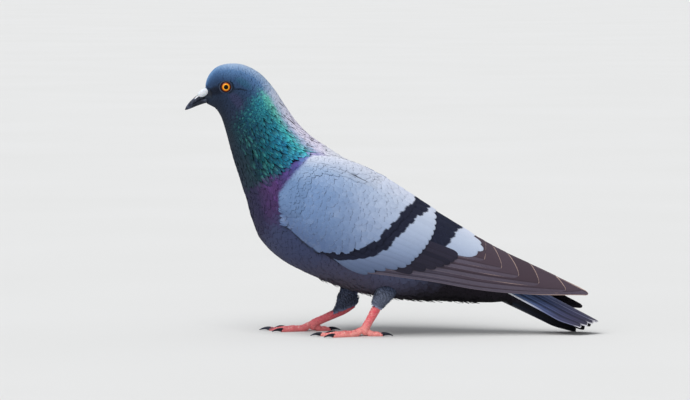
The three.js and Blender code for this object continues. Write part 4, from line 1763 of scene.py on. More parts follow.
SCUTE_SEED = 3
SCUTE_CUT = VaneCut(
    rings=4, strips=6, widest=0.3, base=0.8, tip_power=3.5, thick=0.25, camber=0.12, settle=1.0
)


@dataclass(frozen=True)
class Toe:
    """One toe: its angle from straight ahead, outwards, in degrees, and its length in mm."""

    name: str
    turn: float
    length: float


@dataclass(frozen=True)
class Leg:
    """One leg, with its sizes in millimetres: the feathered thigh, the bare shank and the toes.

    The shank starts at the heel. The cuff is where the feathers end: a place, its height and its
    slope. The tone is the angle round the belly whose colours the lower thigh takes; the right
    thigh's lies further round, in the belly's darker colours, as painted shade.
    """

    side: Side
    thigh: tuple[tuple[float, float, float], ...]
    heel: tuple[float, float]
    cuff: tuple[float, float, float]
    palm: tuple[float, float]
    toes: tuple[Toe, ...]
    out: float = 20.0
    shank_top: float = 3.1
    shank_foot: float = 2.7
    palm_radius: float = 3.1
    palm_drop: float = 1.6
    toe_root: float = 2.3
    toe_end: float = 1.5
    toe_sink: float = 0.5
    knuckles: int = 3
    knuckle: float = 0.12
    tuck: float = 7.0
    flat: float = 1.0
    shear: float = 0.0
    tone: float = 1.05

    def place(self, x: float, z: float) -> Array:
        """A point of the leg's plane in metres."""
        return np.array([x, self.side.value * self.out, z]) * MM

    def thigh_form(self, drawn_in: float) -> LimbForm:
        """The feathered thigh's surface, drawn in by some metres."""
        path = np.array([self.place(x, z) for x, z, _ in self.thigh])
        path[:2, 1] -= self.side.value * np.array([self.tuck, 0.4 * self.tuck]) * MM
        radii = np.array([radius for _, _, radius in self.thigh]) * MM
        form = LimbForm(path, radii, drawn_in, self.flat, self.shear)
        form.side = np.array([0, 1.0, 0])
        return form

    def shank_form(self) -> LimbForm:
        """The bare shank's surface, from inside the thigh to the palm."""
        heel, palm = self.place(*self.heel), self.place(*self.palm)
        path = mix(heel, palm, np.linspace(0, 1, 5)[:, None])
        shape = np.array([0.55, 1.04, 1.06, 1.02, 1.12])
        return LimbForm(path, np.linspace(self.shank_top, self.shank_foot, 5) * shape * MM)

    def ahead(self, toe: Toe) -> Array:
        """The way a toe points."""
        turn = math.radians(toe.turn)
        return np.array([-math.cos(turn), self.side.value * math.sin(turn), 0])

    def toe_form(self, toe: Toe) -> LimbForm:
        """One toe's surface, resting on the floor."""
        shares = np.linspace(0, 1, 9)
        bumps = 1 + self.knuckle * np.cos(2 * math.pi * self.knuckles * shares)
        radii = mix(self.toe_root, self.toe_end, shares) * bumps
        heights = mix(self.palm[1], radii - self.toe_sink, ease(shares * 3.2))
        path = self.place(*self.palm) + self.ahead(toe) * (shares * toe.length * MM)[:, None]
        path[:, 2] = heights * MM
        return LimbForm(path, radii * MM)

    def flesh(self) -> list[tuple[Array, Array]]:
        """The closed parts of shank, palm and toes, for merging."""
        around = round_steps(20)
        parts = [tube(self.shank_form(), np.linspace(0, 1, 24), around)]
        parts += [tube(self.toe_form(toe), np.linspace(0, 1, 40), around) for toe in self.toes]
        points, faces = ball(20, 12, self.palm_radius * MM)
        points += self.place(*self.palm) - np.array([0, 0, self.palm_drop * MM])
        points[:, 2] = np.maximum(points[:, 2], 0.4 * MM)
        return [*parts, (points, faces)]

    def scutes(self, rng: np.random.Generator) -> Draft:
        """Plates down the shank's front and along each toe's top."""
        drafts = [self.plates(self.shank_form(), 10, 0.93, 2.1, rng)]
        for toe in self.toes:
            drafts.append(self.plates(self.toe_form(toe), round(toe.length / 2.1), 0.98, 1.45, rng))
        return Draft.join(drafts)

    def plates(
        self, form: LimbForm, count: int, end: float, half: float, rng: np.random.Generator
    ) -> Draft:
        """One file of plates along a limb.

        Args:
            form: The limb.
            count: How many there are.
            end: Where the last ends, 0 to 1 along.
            half: Half a plate's width, in millimetres.
            rng: The source of small differences.

        Returns:
            The plates.
        """
        shares = np.linspace(0.12, end, count + 1)
        step = shares[1] - shares[0]
        roots = np.stack([shares[:-1] - 0.1 * step, rng.normal(0, 0.04, count)], -1)
        tips = np.stack([shares[1:] + 0.22 * step, rng.normal(0, 0.04, count)], -1)
        width = half * MM * mix(1.0, 0.8, np.arange(count) / count)
        seeds = rng.uniform(0, 1, count)
        return lay(form, SCUTE_CUT, Feathers(roots, tips, width, width, -0.15 * MM, 0.3 * MM, seeds))


TOES_LEFT = (Toe("inner", -24, 24), Toe("middle", 2, 31), Toe("outer", 27, 25), Toe("hind", 176, 12.5))
TOES_RIGHT = (Toe("inner", -22, 24), Toe("middle", 4, 31), Toe("outer", 30, 25), Toe("hind", 172, 12.5))
LEGS = (
    Leg(
        Side.LEFT,
        thigh=((-1.5, 43.0, 9.6), (-4.8, 31.0, 7.5), (-8.3, 25.4, 5.3), (-10.6, 21.0, 4.1)),
        heel=(-8.2, 24.6), cuff=(-11.6, 20.6, 0.0), palm=(-19.0, 5.2), toes=TOES_LEFT,
    ),
    Leg(
        Side.RIGHT,
        thigh=((-25.0, 43.0, 10.6), (-29.8, 31.0, 6.4), (-31.0, 25.5, 6.9), (-31.4, 20.8, 8.3))
        + ((-33.2, 16.0, 9.9),),
        heel=(-26.2, 18.4), cuff=(-39.5, 15.0, 0.3), palm=(-55.5, 5.2), toes=TOES_RIGHT,
        # The right thigh takes darker colours from further round the belly: painted shade on the far thigh.
        flat=0.55, shear=0.8, tone=1.35,
    ),
)


# ------------------------------------------------------------------ eyes and skin


@dataclass(frozen=True)
class Eyes:
    """Both eyes, with sizes in millimetres."""

    at: tuple[float, float, float] = (-115.9, 9.2, 173.3)
    radius: float = 4.9
    lid_radius: float = 4.2
    lid_thick: float = 0.46
    lid_out: float = 12.55
    lid_steps: tuple[int, int] = (56, 12)
    gaze: float = 0.25

    def centre(self, side: Side) -> Array:
        """The eyeball's centre in metres."""
        return np.array([self.at[0], side.value * self.at[1], self.at[2]]) * MM

    def ball(self, side: Side) -> bpy.types.Object:
        """One eyeball, with each point's distance from its axis in the attribute disc.

        Args:
            side: The side that it is on.

        Returns:
            The piece.
        """
        shape = bmesh.new()
        bmesh.ops.create_uvsphere(shape, u_segments=48, v_segments=32, radius=self.radius * MM)
        mesh = bpy.data.meshes.new(f"eyeball_{side.word}")
        shape.to_mesh(mesh)
        shape.free()
        points = read_points(mesh)[:, [0, 2, 1]] * [1, -side.value, 1]
        back, up = points[:, 0] - self.gaze * MM, points[:, 2]
        disc = np.stack([np.hypot(back, up) / MM, np.arctan2(up, back), 0 * up], -1)
        mesh.vertices.foreach_set("co", (points + self.centre(side)).ravel())
        write_values(mesh, {"disc": disc})
        if side is Side.LEFT:
            mesh.flip_normals()
        mesh.shade_smooth()
        return dress(linked(mesh.name, mesh), EyeFinish(), "eye_ball", f"eye_{side.word}")

    def lid(self, side: Side) -> tuple[Array, Array]:
        """The closed ring of bare skin round one eye."""
        turns, rounds = (np.linspace(0, math.tau, count, endpoint=False) for count in self.lid_steps)
        turn, around = np.meshgrid(turns, rounds, indexing="ij")
        fold = 1 + 0.08 * np.sin(turn * 17)
        radius = self.lid_radius + self.lid_thick * fold * np.cos(around)
        x = self.at[0] + radius * np.cos(turn) * 1.03
        z = self.at[2] + radius * np.sin(turn) * 0.97
        y = self.lid_out + 0.55 * self.lid_thick * np.sin(around) - 0.03 * (x - self.at[0])
        points = np.stack([x, side.value * y, z], -1).reshape(-1, 3) * MM
        quads = ring_quads(len(turns) + 1, len(rounds))[:, [0, 3, 2, 1]] % len(points)
        return points, quads if side is Side.LEFT else quads[:, ::-1]


EYES = Eyes()


def coat_depth(station: Array) -> Array:
    """How far the skin lies inside the solids at a station, in metres."""
    return smooth(COAT_DEPTH, np.clip(station, 0, 20)) * MM


@dataclass(frozen=True)
class Skin:
    """One skin for head, neck, trunk, thighs, shanks and feet, with the lids."""

    rings: int = 200
    around: int = 120
    leg_voxel: float = 0.4
    thigh_depth: float = 1.4
    seed: int = 5

    def build(self) -> bpy.types.Object:
        """Makes the skin and marks its zones."""
        BODY.grow = lambda s: -coat_depth(s)
        stations = np.linspace(0.02, 19.9, self.rings)
        body = plain_object("skin", *tube(BODY, stations, round_steps(self.around)))
        others = []
        for leg in LEGS:
            thigh = tube(leg.thigh_form(self.thigh_depth * MM), np.linspace(0, 1, 30), round_steps(36))
            others.append(melt(f"leg_{leg.side.word}", [thigh, *leg.flesh()], self.leg_voxel * MM, 6))
        others += [plain_object(f"lid_{side.word}", *EYES.lid(side)) for side in Side]
        unite(body, others)
        BODY.grow = np.zeros_like
        self.mark(body)
        limbs = [f"{part}_{side.word}" for side in Side for part in ("thigh", "shank", "foot")]
        return dress(body, SkinFinish(), "body_feathers", "head", "neck", "trunk", *limbs)

    def mark(self, body: bpy.types.Object) -> None:
        """Writes each point's place on the body and its zone: leg, eye ring, and how near the foot.

        Args:
            body: The skin.
        """
        mesh = body.data
        points = read_points(mesh)
        points[:, 2] = np.maximum(points[:, 2], 0.0)
        mesh.vertices.foreach_set("co", points.ravel())
        grids = np.meshgrid(np.linspace(0, 20, 161), round_steps(120), indexing="ij")
        p, q = (grid.ravel() for grid in grids)
        samples = BODY.point(p, q)
        tree = kdtree.KDTree(len(samples))
        for i, sample in enumerate(samples):
            tree.insert(sample, i)
        tree.balance()
        nearest = np.array([tree.find(point)[1] for point in points])
        zone = np.zeros_like(points)
        for leg in LEGS:
            cuff_x, cuff_z, slope = leg.cuff
            mine = points[:, 1] * leg.side.value > 0
            x, _, z = points[mine].T / MM
            zone[mine, 0] = ease((cuff_z + slope * (x - cuff_x) + 1.0 - z) / 2.0)
            zone[mine, 2] = ease(1 - (z - 4) / 12)
            away = (points[mine] - EYES.centre(leg.side)) / MM
            zone[mine, 1] = ease((4.9 - np.hypot(away[:, 0], away[:, 2])) / 0.4)
        rng = np.random.default_rng(self.seed)
        root = np.stack([p[nearest], q[nearest], rng.uniform(0.3, 0.7, len(points))], -1)
        write_values(mesh, {"root": root, "zone": zone})


# ------------------------------------------------------------------ the coat


@dataclass(frozen=True)
class Spacing:
    """How far apart feathers stand, in millimetres, by their place along the lie."""

    places: tuple[float, ...]
    sizes: tuple[float, ...]

    def __call__(self, p: Array, q: Array) -> Array:
        """The spacing at (p, q)."""
        return np.interp(p, self.places, self.sizes)


DOWN_CUT = VaneCut(rings=4, strips=2, thick=0.1, camber=0.08, settle=2.6, widest=0.55)
HACKLE_CUT = VaneCut(rings=5, strips=2, thick=0.1, camber=0.16, settle=2.8, widest=0.6, tip_round=1.3)
THIGH_CUT = VaneCut(rings=4, strips=2, thick=0.1, camber=0.06, settle=2.6, widest=0.5, tip_round=0.9)
BODY_CUT = VaneCut(rings=5, strips=4, thick=0.07, camber=0.05, settle=3.0, widest=0.55, fray=0.06)
TUFT_CUT = VaneCut(rings=6, strips=2, thick=0.12, camber=0.1, settle=1.6, widest=0.4, tip_round=1.0)
COVERT_CUT = VaneCut(rings=6, strips=4, thick=0.12, camber=0.1, settle=2.8, widest=0.6)


@dataclass(frozen=True)
class Plumage:
    """The small feathers of head, neck and body, and of the thighs."""

    drape: DrapedForm
    seed: int = 11
    eye_room: float = 4.35
    cere_room: float = 4.2
    belly_station: float = 14.6

    def clear_of_face(self, feathers: Feathers) -> Array:
        """Which feathers leave the eye rings and the cere free."""
        keep = np.ones(len(feathers.roots), dtype=bool)
        cere = np.array(BILL.cere_at)
        for ends in (feathers.roots, feathers.tips, 0.5 * (feathers.roots + feathers.tips)):
            points = BODY.point(*ends.T)
            for side in Side:
                away = (points - EYES.centre(side)) / MM
                near = np.hypot(away[:, 0], away[:, 2]) < self.eye_room
                keep &= ~(near & (points[:, 1] * side.value > 0))
            away = points / MM - cere
            keep &= np.hypot(0.82 * away[:, 0], away[:, 2] + 0.35 * away[:, 0]) > self.cere_room
        return keep

    def lay_patch(self, patch: Patch, coat: Coat, rng: np.random.Generator, jitter: float = 0.3) -> Feathers:
        """Grows a patch of the body's feathers and leaves the face's bare parts free."""
        roots = patch.roots(rng, jitter)
        feathers = coat.grow(patch, roots, coat_depth(roots[:, 0]), rng)
        return feathers.part(self.clear_of_face(feathers))

    def build(self) -> None:
        """Makes every stretch of the coat."""
        whole = (-math.pi, math.pi)
        rng = np.random.default_rng(self.seed)
        close = Spacing((0, 1, 2, 4, 5.5, 6.6), (0.75, 0.9, 1.05, 1.25, 1.45, 1.6))
        down = Coat(length=3.6, width=2.1, wild=0.09, lift=0.14, lift_wild=0.08)
        feathers = self.lay_patch(Patch(BODY, (0.05, 6.2), whole, close), down, rng)
        dress(lay(BODY, DOWN_CUT, feathers).build("coat_head"), BodyPlumage(), "head_feathers")
        hackles = Coat(length=4.4, width=0.9, wild=0.1, lean=0.14, lift=0.2, lift_wild=0.13)
        wide = Spacing((5.6, 6.5, 7.5, 9, 11), (1.4, 1.75, 2.1, 2.4, 2.6))
        neck = Patch(self.drape, (5.6, 10.3), whole, wide, 1.9)
        feathers = self.lay_patch(neck, hackles, rng)
        feathers = feathers.part(self.drape.over(*feathers.tips.T)[1] < 0.35)
        feathers.proud *= mix(0.45, 1.0, ease(np.abs(feathers.roots[:, 1]) / 0.7))
        dress(lay(self.drape, HACKLE_CUT, feathers).build("coat_neck"), BodyPlumage(), "neck_feathers")
        self.trunk(rng)
        self.vent(rng)
        for leg in LEGS:
            self.thigh(leg, rng)

    def trunk(self, rng: np.random.Generator) -> None:
        """Breast, back and belly, and the shoulder feathers that lie over the wings' edges.

        Args:
            rng: The source of small differences.
        """
        wide = Spacing((9, 10, 12, 15, 18, 20), (2.1, 2.5, 3.0, 3.3, 3.3, 2.8))
        patch = Patch(self.drape, (9.0, 19.9), (-math.pi, math.pi), wide)
        soft = Coat(length=3.4, width=1.9, wild=0.07, lift=0.05, lift_wild=0.015)
        feathers = self.lay_patch(patch, soft, rng)
        wing, weight = self.drape.over(*feathers.roots.T)
        tips, _ = self.drape.over(*feathers.tips.T)
        outside = np.isnan(wing[:, 0])
        low = np.nan_to_num(tips[:, 1]) < 0.3
        keep = outside & (np.isnan(tips[:, 0]) | ~low | (feathers.roots[:, 0] < 12)) | np.isnan(tips[:, 0])
        early = feathers.roots[:, 0] < 10.2
        blend = rng.uniform(9.0, 9.7, len(early)) < feathers.roots[:, 0]
        chosen = keep & (blend | ~early)
        ahead = feathers.roots[:, 0] < 13
        for name, share in (("coat_breast", chosen & ahead), ("coat_trunk", chosen & ~ahead)):
            body = lay(self.drape, BODY_CUT, feathers.part(share))
            dress(self.drape.mark(body).build(name), BodyPlumage(), "body_feathers")
        t, v = np.nan_to_num(wing).T
        inner = np.maximum(past(t, 0.2, 0.2) * (1 - past(v, 0.87, 0.06)), past(t, 1.5, 0.3))
        feathers.sunk = mix(feathers.sunk, -0.6 * MM, weight)
        feathers.proud = mix(feathers.proud, -0.3 * MM, inner * weight)
        margin = (t < 0.5) | ((v > 0.84) & (t < 2.0))
        chosen = ~outside & margin & (weight > 0.5) & ~np.isnan(tips[:, 0])
        shoulders = lay(self.drape, BODY_CUT, feathers.part(chosen))
        dress(self.drape.mark(shoulders).build("coat_shoulders"), BodyPlumage(), "wing_coverts")

    def vent(self, rng: np.random.Generator) -> None:
        """The longer, ragged feathers behind the legs."""
        for side, span in zip(Side, ((-math.pi, -2.5), (2.5, math.pi))):
            patch = Patch(BODY, (14.1, 18.3), span, Spacing((14, 15, 19), (2.6, 3.0, 3.2)))
            coat = Coat(length=3.0, width=0.9, wild=0.22, lift=0.38, lift_wild=0.75)
            feathers = self.lay_patch(patch, coat, rng, 0.45)
            tufts = lay(BODY, TUFT_CUT, feathers).build(f"coat_vent_{side.word}")
            dress(tufts, BodyPlumage(), "body_feathers")

    def thigh(self, leg: Leg, rng: np.random.Generator) -> None:
        """The short feathers of one thigh."""
        form = leg.thigh_form(0.0)
        patch = Patch(form, (0.02, 0.93), (-math.pi, math.pi), Spacing((0, 1), (2.0, 1.3)), 1.3)
        roots = patch.roots(rng, 0.25)
        coat = Coat(length=3.4, width=1.3, wild=0.1, lift=0.06, lift_wild=0.05)
        feathers = coat.grow(patch, roots, np.full(len(roots), 1.2 * MM), rng)
        feathers.tips[:, 0] = np.minimum(feathers.tips[:, 0], 1.06)
        draft = lay(form, THIGH_CUT, feathers)
        seed, along = draft.values["root"][:, 2], draft.values["place"][:, 2]
        # Colours from far round the belly at the top, to meet the flank, then the leg's own angle; the right
        # leg's is darker as painted shade.
        around = mix(1.9, leg.tone, ease(draft.values["place"][:, 0] / 0.5))
        for key, last in (("root", seed), ("place", along)):
            draft.values[key] = np.stack([0 * seed + self.belly_station, around, last], -1)
        dress(draft.build(f"coat_thigh_{leg.side.word}"), BodyPlumage(), "thigh_feathers")


# ------------------------------------------------------------------ wings


def even(values: Array) -> Callable[[Array], Array]:
    """A smooth line across the wing through evenly spaced places, from the low edge to the top."""
    return lambda v: smooth(values, np.clip(v, 0, 1) * (len(values) - 1))


@dataclass(frozen=True)
class Wing:
    """One folded wing: a core and its feather groups, from small coverts to primaries."""

    side: Side
    seed: int = 31
    limits: tuple[float, float] = (0.0, 1.0)

    @property
    def form(self) -> WingForm:
        """The wing's outer face."""
        return WingForm(self.side)

    def build(self) -> None:
        """Makes the core and every feather group."""
        self.core()
        self.coverts()
        self.greater_coverts()
        self.tertials()
        self.secondaries()
        self.primaries()

    def core(self) -> None:
        """The closed body of the wing, under its feathers."""
        form = self.form
        share, v = np.meshgrid(np.linspace(0, 1, 54), np.linspace(0.03, 0.98, 30), indexing="ij")
        t = mix(0.05, mix(2.7, 3.7, past(v, 0.2, 0.3)), share)
        _, _, normal = form.slopes(t, v)
        middle = np.sqrt(4 * v * (1 - v))
        thick = (1.0 + 1.6 * middle) * MM
        outer = form.point(t, v) + normal * (-0.9 * MM)
        inner = outer - normal * thick[..., None]
        rings = np.concatenate([outer, inner[:, ::-1]], axis=1)
        rows, count = rings.shape[:2]
        points = rings.reshape(-1, 3)
        k = np.arange(count // 2 - 1)
        cap = np.stack([k, k + 1, count - 2 - k, count - 1 - k], -1)
        faces = np.concatenate([ring_quads(rows, count), cap, ((rows - 1) * count + cap)[:, ::-1]])
        faces = faces if form.handed > 0 else faces[:, ::-1]
        piece = plain_object(f"wing_core_{self.side.word}", points, faces)
        t, v = (np.concatenate([grid, grid[:, ::-1]], axis=1).ravel() for grid in (t, v))
        columns = {"root": (t, v, 0.3), "place": (t, v, 0.5), "vane": (t * 30, v * 50, 9.0)}
        write_values(piece.data, {key: np.stack([a, b, c + 0 * a], -1) for key, (a, b, c) in columns.items()})
        dress(piece, CovertFinish(), "wing_coverts", f"wing_{self.side.word}_coverts")

    def coverts(self) -> None:
        """The small and middle coverts, in rows that grow down the wing."""
        rng = np.random.default_rng(self.seed + self.side.value)
        form = self.form
        front = even(BAR_ONE_FRONT)

        def spacing(p: Array, q: Array) -> Array:
            """Closer at the wing's bend, wider at the first bar."""
            return mix(2.4, 4.8, np.clip(p / np.maximum(front(q), 0.5), 0, 1))

        patch = Patch(form, (-0.05, 2.95), (0.0, 1.0), spacing)
        roots = patch.roots(rng, 0.25)
        coat = Coat(length=2.7, width=1.85, wild=0.07, lean=0.05, lift=0.06, lift_wild=0.025)
        feathers = coat.grow(patch, roots, np.full(len(roots), 1.2 * MM), rng)
        feathers.proud += 0.2 * MM
        feathers.tips[:, 1] = np.clip(feathers.tips[:, 1], 0.02, 0.98)
        keep = feathers.tips[:, 0] < front(feathers.tips[:, 1]) - 0.03
        keep &= (feathers.tips[:, 0] > 0.35) | (feathers.tips[:, 1] < 0.3)
        small = lay(form, COVERT_CUT, feathers.part(keep), limits=self.limits)
        count = 20
        share = np.linspace(0, 1, count)
        v_tip = mix(0.02, 0.985, share)
        v_root = mix(0.09, 0.985, share)
        last = Feathers(
            roots=np.stack([front(v_root) - 0.55, v_root], -1),
            tips=np.stack([front(v_tip) + rng.uniform(0.02, 0.08, count), v_tip], -1),
            low_half=3.8 * MM,
            high_half=4.0 * MM,
            sunk=-0.8 * MM,
            proud=0.36 * MM,
            seeds=rng.uniform(0, 1, count),
            tilt=0.06 * MM,
        )
        cut = VaneCut(rings=9, strips=8, thick=0.16, camber=0.2, settle=2.6, widest=0.66, tip_power=2.5)
        row = lay(form, cut, last, limits=self.limits)
        piece = Draft.join([small, row]).build(f"coverts_{self.side.word}")
        dress(piece, CovertFinish(), "wing_coverts")

    def row(
        self,
        name: str,
        slot: str,
        finish: Finish,
        cut: VaneCut,
        roots: Array,
        tips: Array,
        low: Array | float,
        high: Array | float,
        heights: Array,
        *nodes: str,
        depth: float | Array = 0.9,
        bend: float | Array = 0.0,
        slant: Array | None = None,
    ) -> None:
        """One row of large feathers, each with its own place on the map.

        Args:
            name: The piece's name.
            slot: The record's material slot; passed to dress, which does not use it.
            finish: The feathers' finish.
            cut: Their shape.
            roots: Their roots (n, 2).
            tips: Their tips (n, 2).
            low: Each one's width below its shaft, in millimetres.
            high: Each one's width above it.
            heights: How high each lies at its tip, in millimetres.
            *nodes: The solid's nodes that the row stands for.
            depth: How much lower each is at its root.
            bend: How far each tip is bent upwards.
            slant: How far from its tip each lower and upper web begins to close (n, 2).
        """
        seeds = np.random.default_rng(self.seed + len(name)).uniform(0, 1, len(roots))
        sunk, proud = (heights - depth) * MM, heights * MM
        feathers = Feathers(roots, tips, low * MM, high * MM, sunk, proud, seeds, 0.12 * MM, bend * MM)
        if slant is not None:
            feathers.slant = slant * MM
        draft = lay(self.form, cut, feathers, atlas=True, limits=self.limits)
        dress(draft.build(f"{name}_{self.side.word}"), finish, slot, *nodes)

    def greater_coverts(self) -> None:
        """The large coverts: black over their bases and pale over their ends."""
        v_tip = np.array(
            [0.015, 0.04, 0.07, 0.105, 0.145, 0.19, 0.24, 0.295, 0.355]
            + [0.42, 0.49, 0.565, 0.64, 0.72, 0.8, 0.885, 0.97]
        )
        count = len(v_tip)
        v_root = 0.075 + 0.925 * v_tip
        share = np.linspace(0, 1, count)
        tips = np.stack([even(COVERTS_END)(v_tip), v_tip], -1)
        roots = np.stack([even(BAR_ONE_FRONT)(v_root) - 0.42, v_root], -1)
        self.row(
            "greater_coverts", "wing_coverts", GreaterCovertFinish(),
            VaneCut(rings=18, strips=8, thick=0.2, camber=0.3, settle=2.2, widest=0.8, tip_power=2.8),
            roots, tips, mix(2.0, 3.6, share), mix(3.0, 4.6, share), mix(-0.05, 0.3, share),
        )

    def tertials(self) -> None:
        """The innermost flight feathers: black with broad pale ends."""
        v_tip = np.array([0.67, 0.78, 0.88, 0.965])
        v_root = np.array([0.55, 0.70, 0.84, 0.96])
        tips = np.stack([np.array([4.64, 4.72, 4.62, 4.42]), v_tip], -1)
        roots = np.stack([even(COVERTS_END)(v_root) - 1.0, v_root], -1)
        self.row(
            "tertials", "wing_secondaries", TertialFinish(),
            VaneCut(rings=22, strips=12, thick=0.22, camber=0.3, settle=2.0, widest=0.74, tip_power=2.2),
            roots, tips, np.array([8.0, 5.8, 5.4, 5.0]), np.array([6.5, 6.5, 5.0, 3.0]),
            np.array([-0.25, -0.1, 0.02, 0.12]), f"wing_{self.side.word}_secondaries",
        )

    def secondaries(self) -> None:
        """The dark secondaries that show under the tertials."""
        count = 7
        v_tip = np.linspace(0.09, 0.44, count)
        v_root = np.linspace(0.13, 0.46, count)
        tips = np.stack([np.array([3.5, 3.76, 3.96, 4.1, 4.2, 4.26, 4.3]), v_tip], -1)
        roots = np.stack([even(COVERTS_END)(v_root) - 0.8, v_root], -1)
        self.row(
            "secondaries", "wing_secondaries", SecondaryFinish(),
            VaneCut(rings=16, strips=8, thick=0.22, camber=0.2, settle=2.0, widest=0.84, tip_power=3.4),
            roots, tips, 2.8, 6.0, np.linspace(-0.55, -0.35, count),
        )

    def primaries(self) -> None:
        """The long primaries, each shorter one over the next longer one."""
        ends = np.array([[4.83, 0.63], [5.22, 0.60], [5.60, 0.55], [6.04, 0.49], [6.55, 0.415], [7.09, 0.40]])
        rise = np.array([0.03, 0.07, 0.11, 0.16, 0.235, 0.36])
        count = len(ends)
        roots = np.stack([np.linspace(2.7, 2.3, count), np.array([0.33, 0.25, 0.18, 0.12, 0.07, 0.03])], -1)
        self.row(
            "primaries", "wing_primaries", PrimaryFinish(),
            VaneCut(
                rings=36, strips=14, thick=0.24, camber=0.2, settle=1.2, widest=0.87, tip_power=2.2, base=0.6
            ),
            roots, ends - np.stack([0 * rise, rise], -1), np.array([3.4, 3.4, 3.4, 3.4, 3.6, 4.2]), 26.0,
            -0.6 - 0.1 * np.arange(count), f"wing_{self.side.word}_primaries",
            depth=0.5 + 0.25 * np.arange(count), bend=np.array([0.6, 1.2, 1.8, 2.2, 2.6, 3.2]),
            slant=np.stack([[5.0, 5.0, 5.0, 5.0, 5.0, 4.0], [3.0, 11.0, 12.0, 9.0, 7.0, 3.0]], -1),
        )


# ------------------------------------------------------------------ tail


@dataclass(frozen=True)
class Tail:
    """The closed tail: twelve feathers, the middle ones on top."""

    places: tuple[float, ...] = (0.04, 0.12, 0.30, 0.52, 0.75, 0.95)
    outer_web: float = 2.2
    inner_web: float = 8.0
    near_drop: float = 0.7
    far_drop: float = 2.0
    seed: int = 7

    def build(self) -> None:
        """Makes the feathers."""
        w = np.array([-place for place in reversed(self.places)] + list(self.places))
        count = len(w)
        rng = np.random.default_rng(self.seed)
        height = -np.where(w < 0, self.near_drop, self.far_drop) * np.abs(w) * MM
        outer, inner = self.outer_web * MM, self.inner_web * MM
        feathers = Feathers(
            roots=np.stack([np.zeros(count), w], -1),
            tips=np.stack([1.0 - rng.uniform(0, 0.03, count), w], -1),
            low_half=np.where(w < 0, outer, inner),
            high_half=np.where(w < 0, inner, outer),
            sunk=height - 0.5 * MM,
            proud=height,
            seeds=rng.uniform(0, 1, count),
            tilt=-np.sign(w) * 0.12 * MM,
        )
        cut = VaneCut(
            rings=30, strips=12, thick=0.3, camber=0.15, settle=1.6, widest=0.92, tip_power=2.4, base=0.75
        )
        draft = lay(TailForm(), cut, feathers, atlas=True, limits=(-1.0, 1.0))
        dress(draft.build("tail_vanes"), TailFinish(), "tail_feathers", "tail")


# ------------------------------------------------------------------ bill, cere and claws


@dataclass(frozen=True)
class Bill:
    """The bill's two halves and the cere.

    Each lobe of the cere gives its place from cere_at, its three half sizes and its tilt in degrees.
    """

    upper: tuple[Station, ...] = (
        Station((-128.8, 172.6), (-128.6, 164.6), 4.2, 0.4),
        Station((-131.1, 171.0), (-130.6, 164.4), 4.0, 0.4),
        Station((-134.4, 168.6), (-133.6, 163.3), 3.4, 0.4),
        Station((-138.2, 165.6), (-137.2, 161.6), 2.6, 0.4),
        Station((-141.6, 162.4), (-140.8, 159.6), 1.9, 0.4),
        Station((-143.9, 159.3), (-143.3, 157.7), 1.1, 0.4),
        Station((-144.8, 157.1), (-144.4, 156.7), 0.35, 0.5),
    )
    lower: tuple[Station, ...] = (
        Station((-128.4, 165.6), (-128.2, 162.0), 3.9, 0.75),
        Station((-130.6, 165.3), (-130.2, 161.7), 3.7, 0.75),
        Station((-133.8, 164.1), (-133.5, 160.7), 3.1, 0.75),
        Station((-137.2, 162.4), (-137.1, 159.4), 2.3, 0.75),
        Station((-140.6, 160.5), (-140.5, 158.0), 1.5, 0.75),
        Station((-142.9, 158.6), (-142.7, 157.2), 0.9, 0.75),
        Station((-144.3, 157.5), (-144.2, 156.9), 0.4, 0.6),
    )
    cere_at: tuple[float, float, float] = (-131.7, 2.6, 168.9)
    cere_lobes: tuple[tuple[float, ...], ...] = (
        (0.4, 2.5, 0.1, 4.6, 2.6, 2.8, 26.0),
        (-3.7, 1.3, -2.4, 4.6, 1.3, 0.8, 42.0),
    )

    def build(self) -> None:
        """Makes all three."""
        horn = HornFinish("bill_horn", paint(22, 27, 39), paint(94, 102, 124))
        for name, stations in (("upper", self.upper), ("lower", self.lower)):
            loft = Loft(stations, 1.9)
            half = tube(loft, np.linspace(0, loft.last, 48), round_steps(40))
            dress(plain_object(f"bill_{name}_half", *half), horn, "bill_horn", f"bill_{name}")
        self.cere()

    def cere(self) -> None:
        """Soft lobes on both sides that meet over the bill."""
        parts = []
        at = np.array([self.cere_at[0], 0, self.cere_at[2]])
        for side, (x, y, z, long, wide, high, tilt) in product(Side, self.cere_lobes):
            points, faces = ball(28, 20, 1.0)
            ahead, out, up = (points * (long, wide, high)).T
            cosine, sine = math.cos(math.radians(tilt)), math.sin(math.radians(tilt))
            turned = np.stack([ahead * cosine - up * sine, out, ahead * sine + up * cosine], -1)
            parts.append(((turned + at + (x, side.value * y, z)) * MM, faces))
        dress(melt("cere_lobes", parts, 0.18 * MM, 3), CereFinish(), "cere_skin", "cere")


BILL = Bill()


@dataclass(frozen=True)
class Claws:
    """All eight claws, with sizes in millimetres."""

    length: float = 6.8
    radius: float = 1.45
    tip: float = 0.2
    drop: float = 0.9

    def build(self) -> None:
        """Makes one curved cone for each toe."""
        horn = HornFinish("claw_horn", paint(18, 20, 32), paint(60, 62, 80))
        for leg in LEGS:
            for toe in leg.toes:
                points, faces = tube(self.form(leg, toe), np.linspace(0, 1, 22), round_steps(20))
                points[:, 2] = np.maximum(points[:, 2], 0.0)
                name = f"{leg.side.word}_{toe.name}"
                dress(plain_object(f"nail_{name}", points, faces), horn, "claw_horn", f"claw_{name}")

    def form(self, leg: Leg, toe: Toe) -> LimbForm:
        """One claw's surface."""
        shares = np.linspace(0, 1, 7)
        reach = shares * (self.length + 1.2) - 0.9
        path = leg.toe_form(toe).path[-1] + leg.ahead(toe) * (reach * MM)[:, None]
        path[:, 2] += (0.25 + 0.5 * np.sin(math.pi * shares) - self.drop * shares**2) * MM
        return LimbForm(path, mix(self.radius, self.tip, shares**1.2) * MM)


# ------------------------------------------------------------------ stage


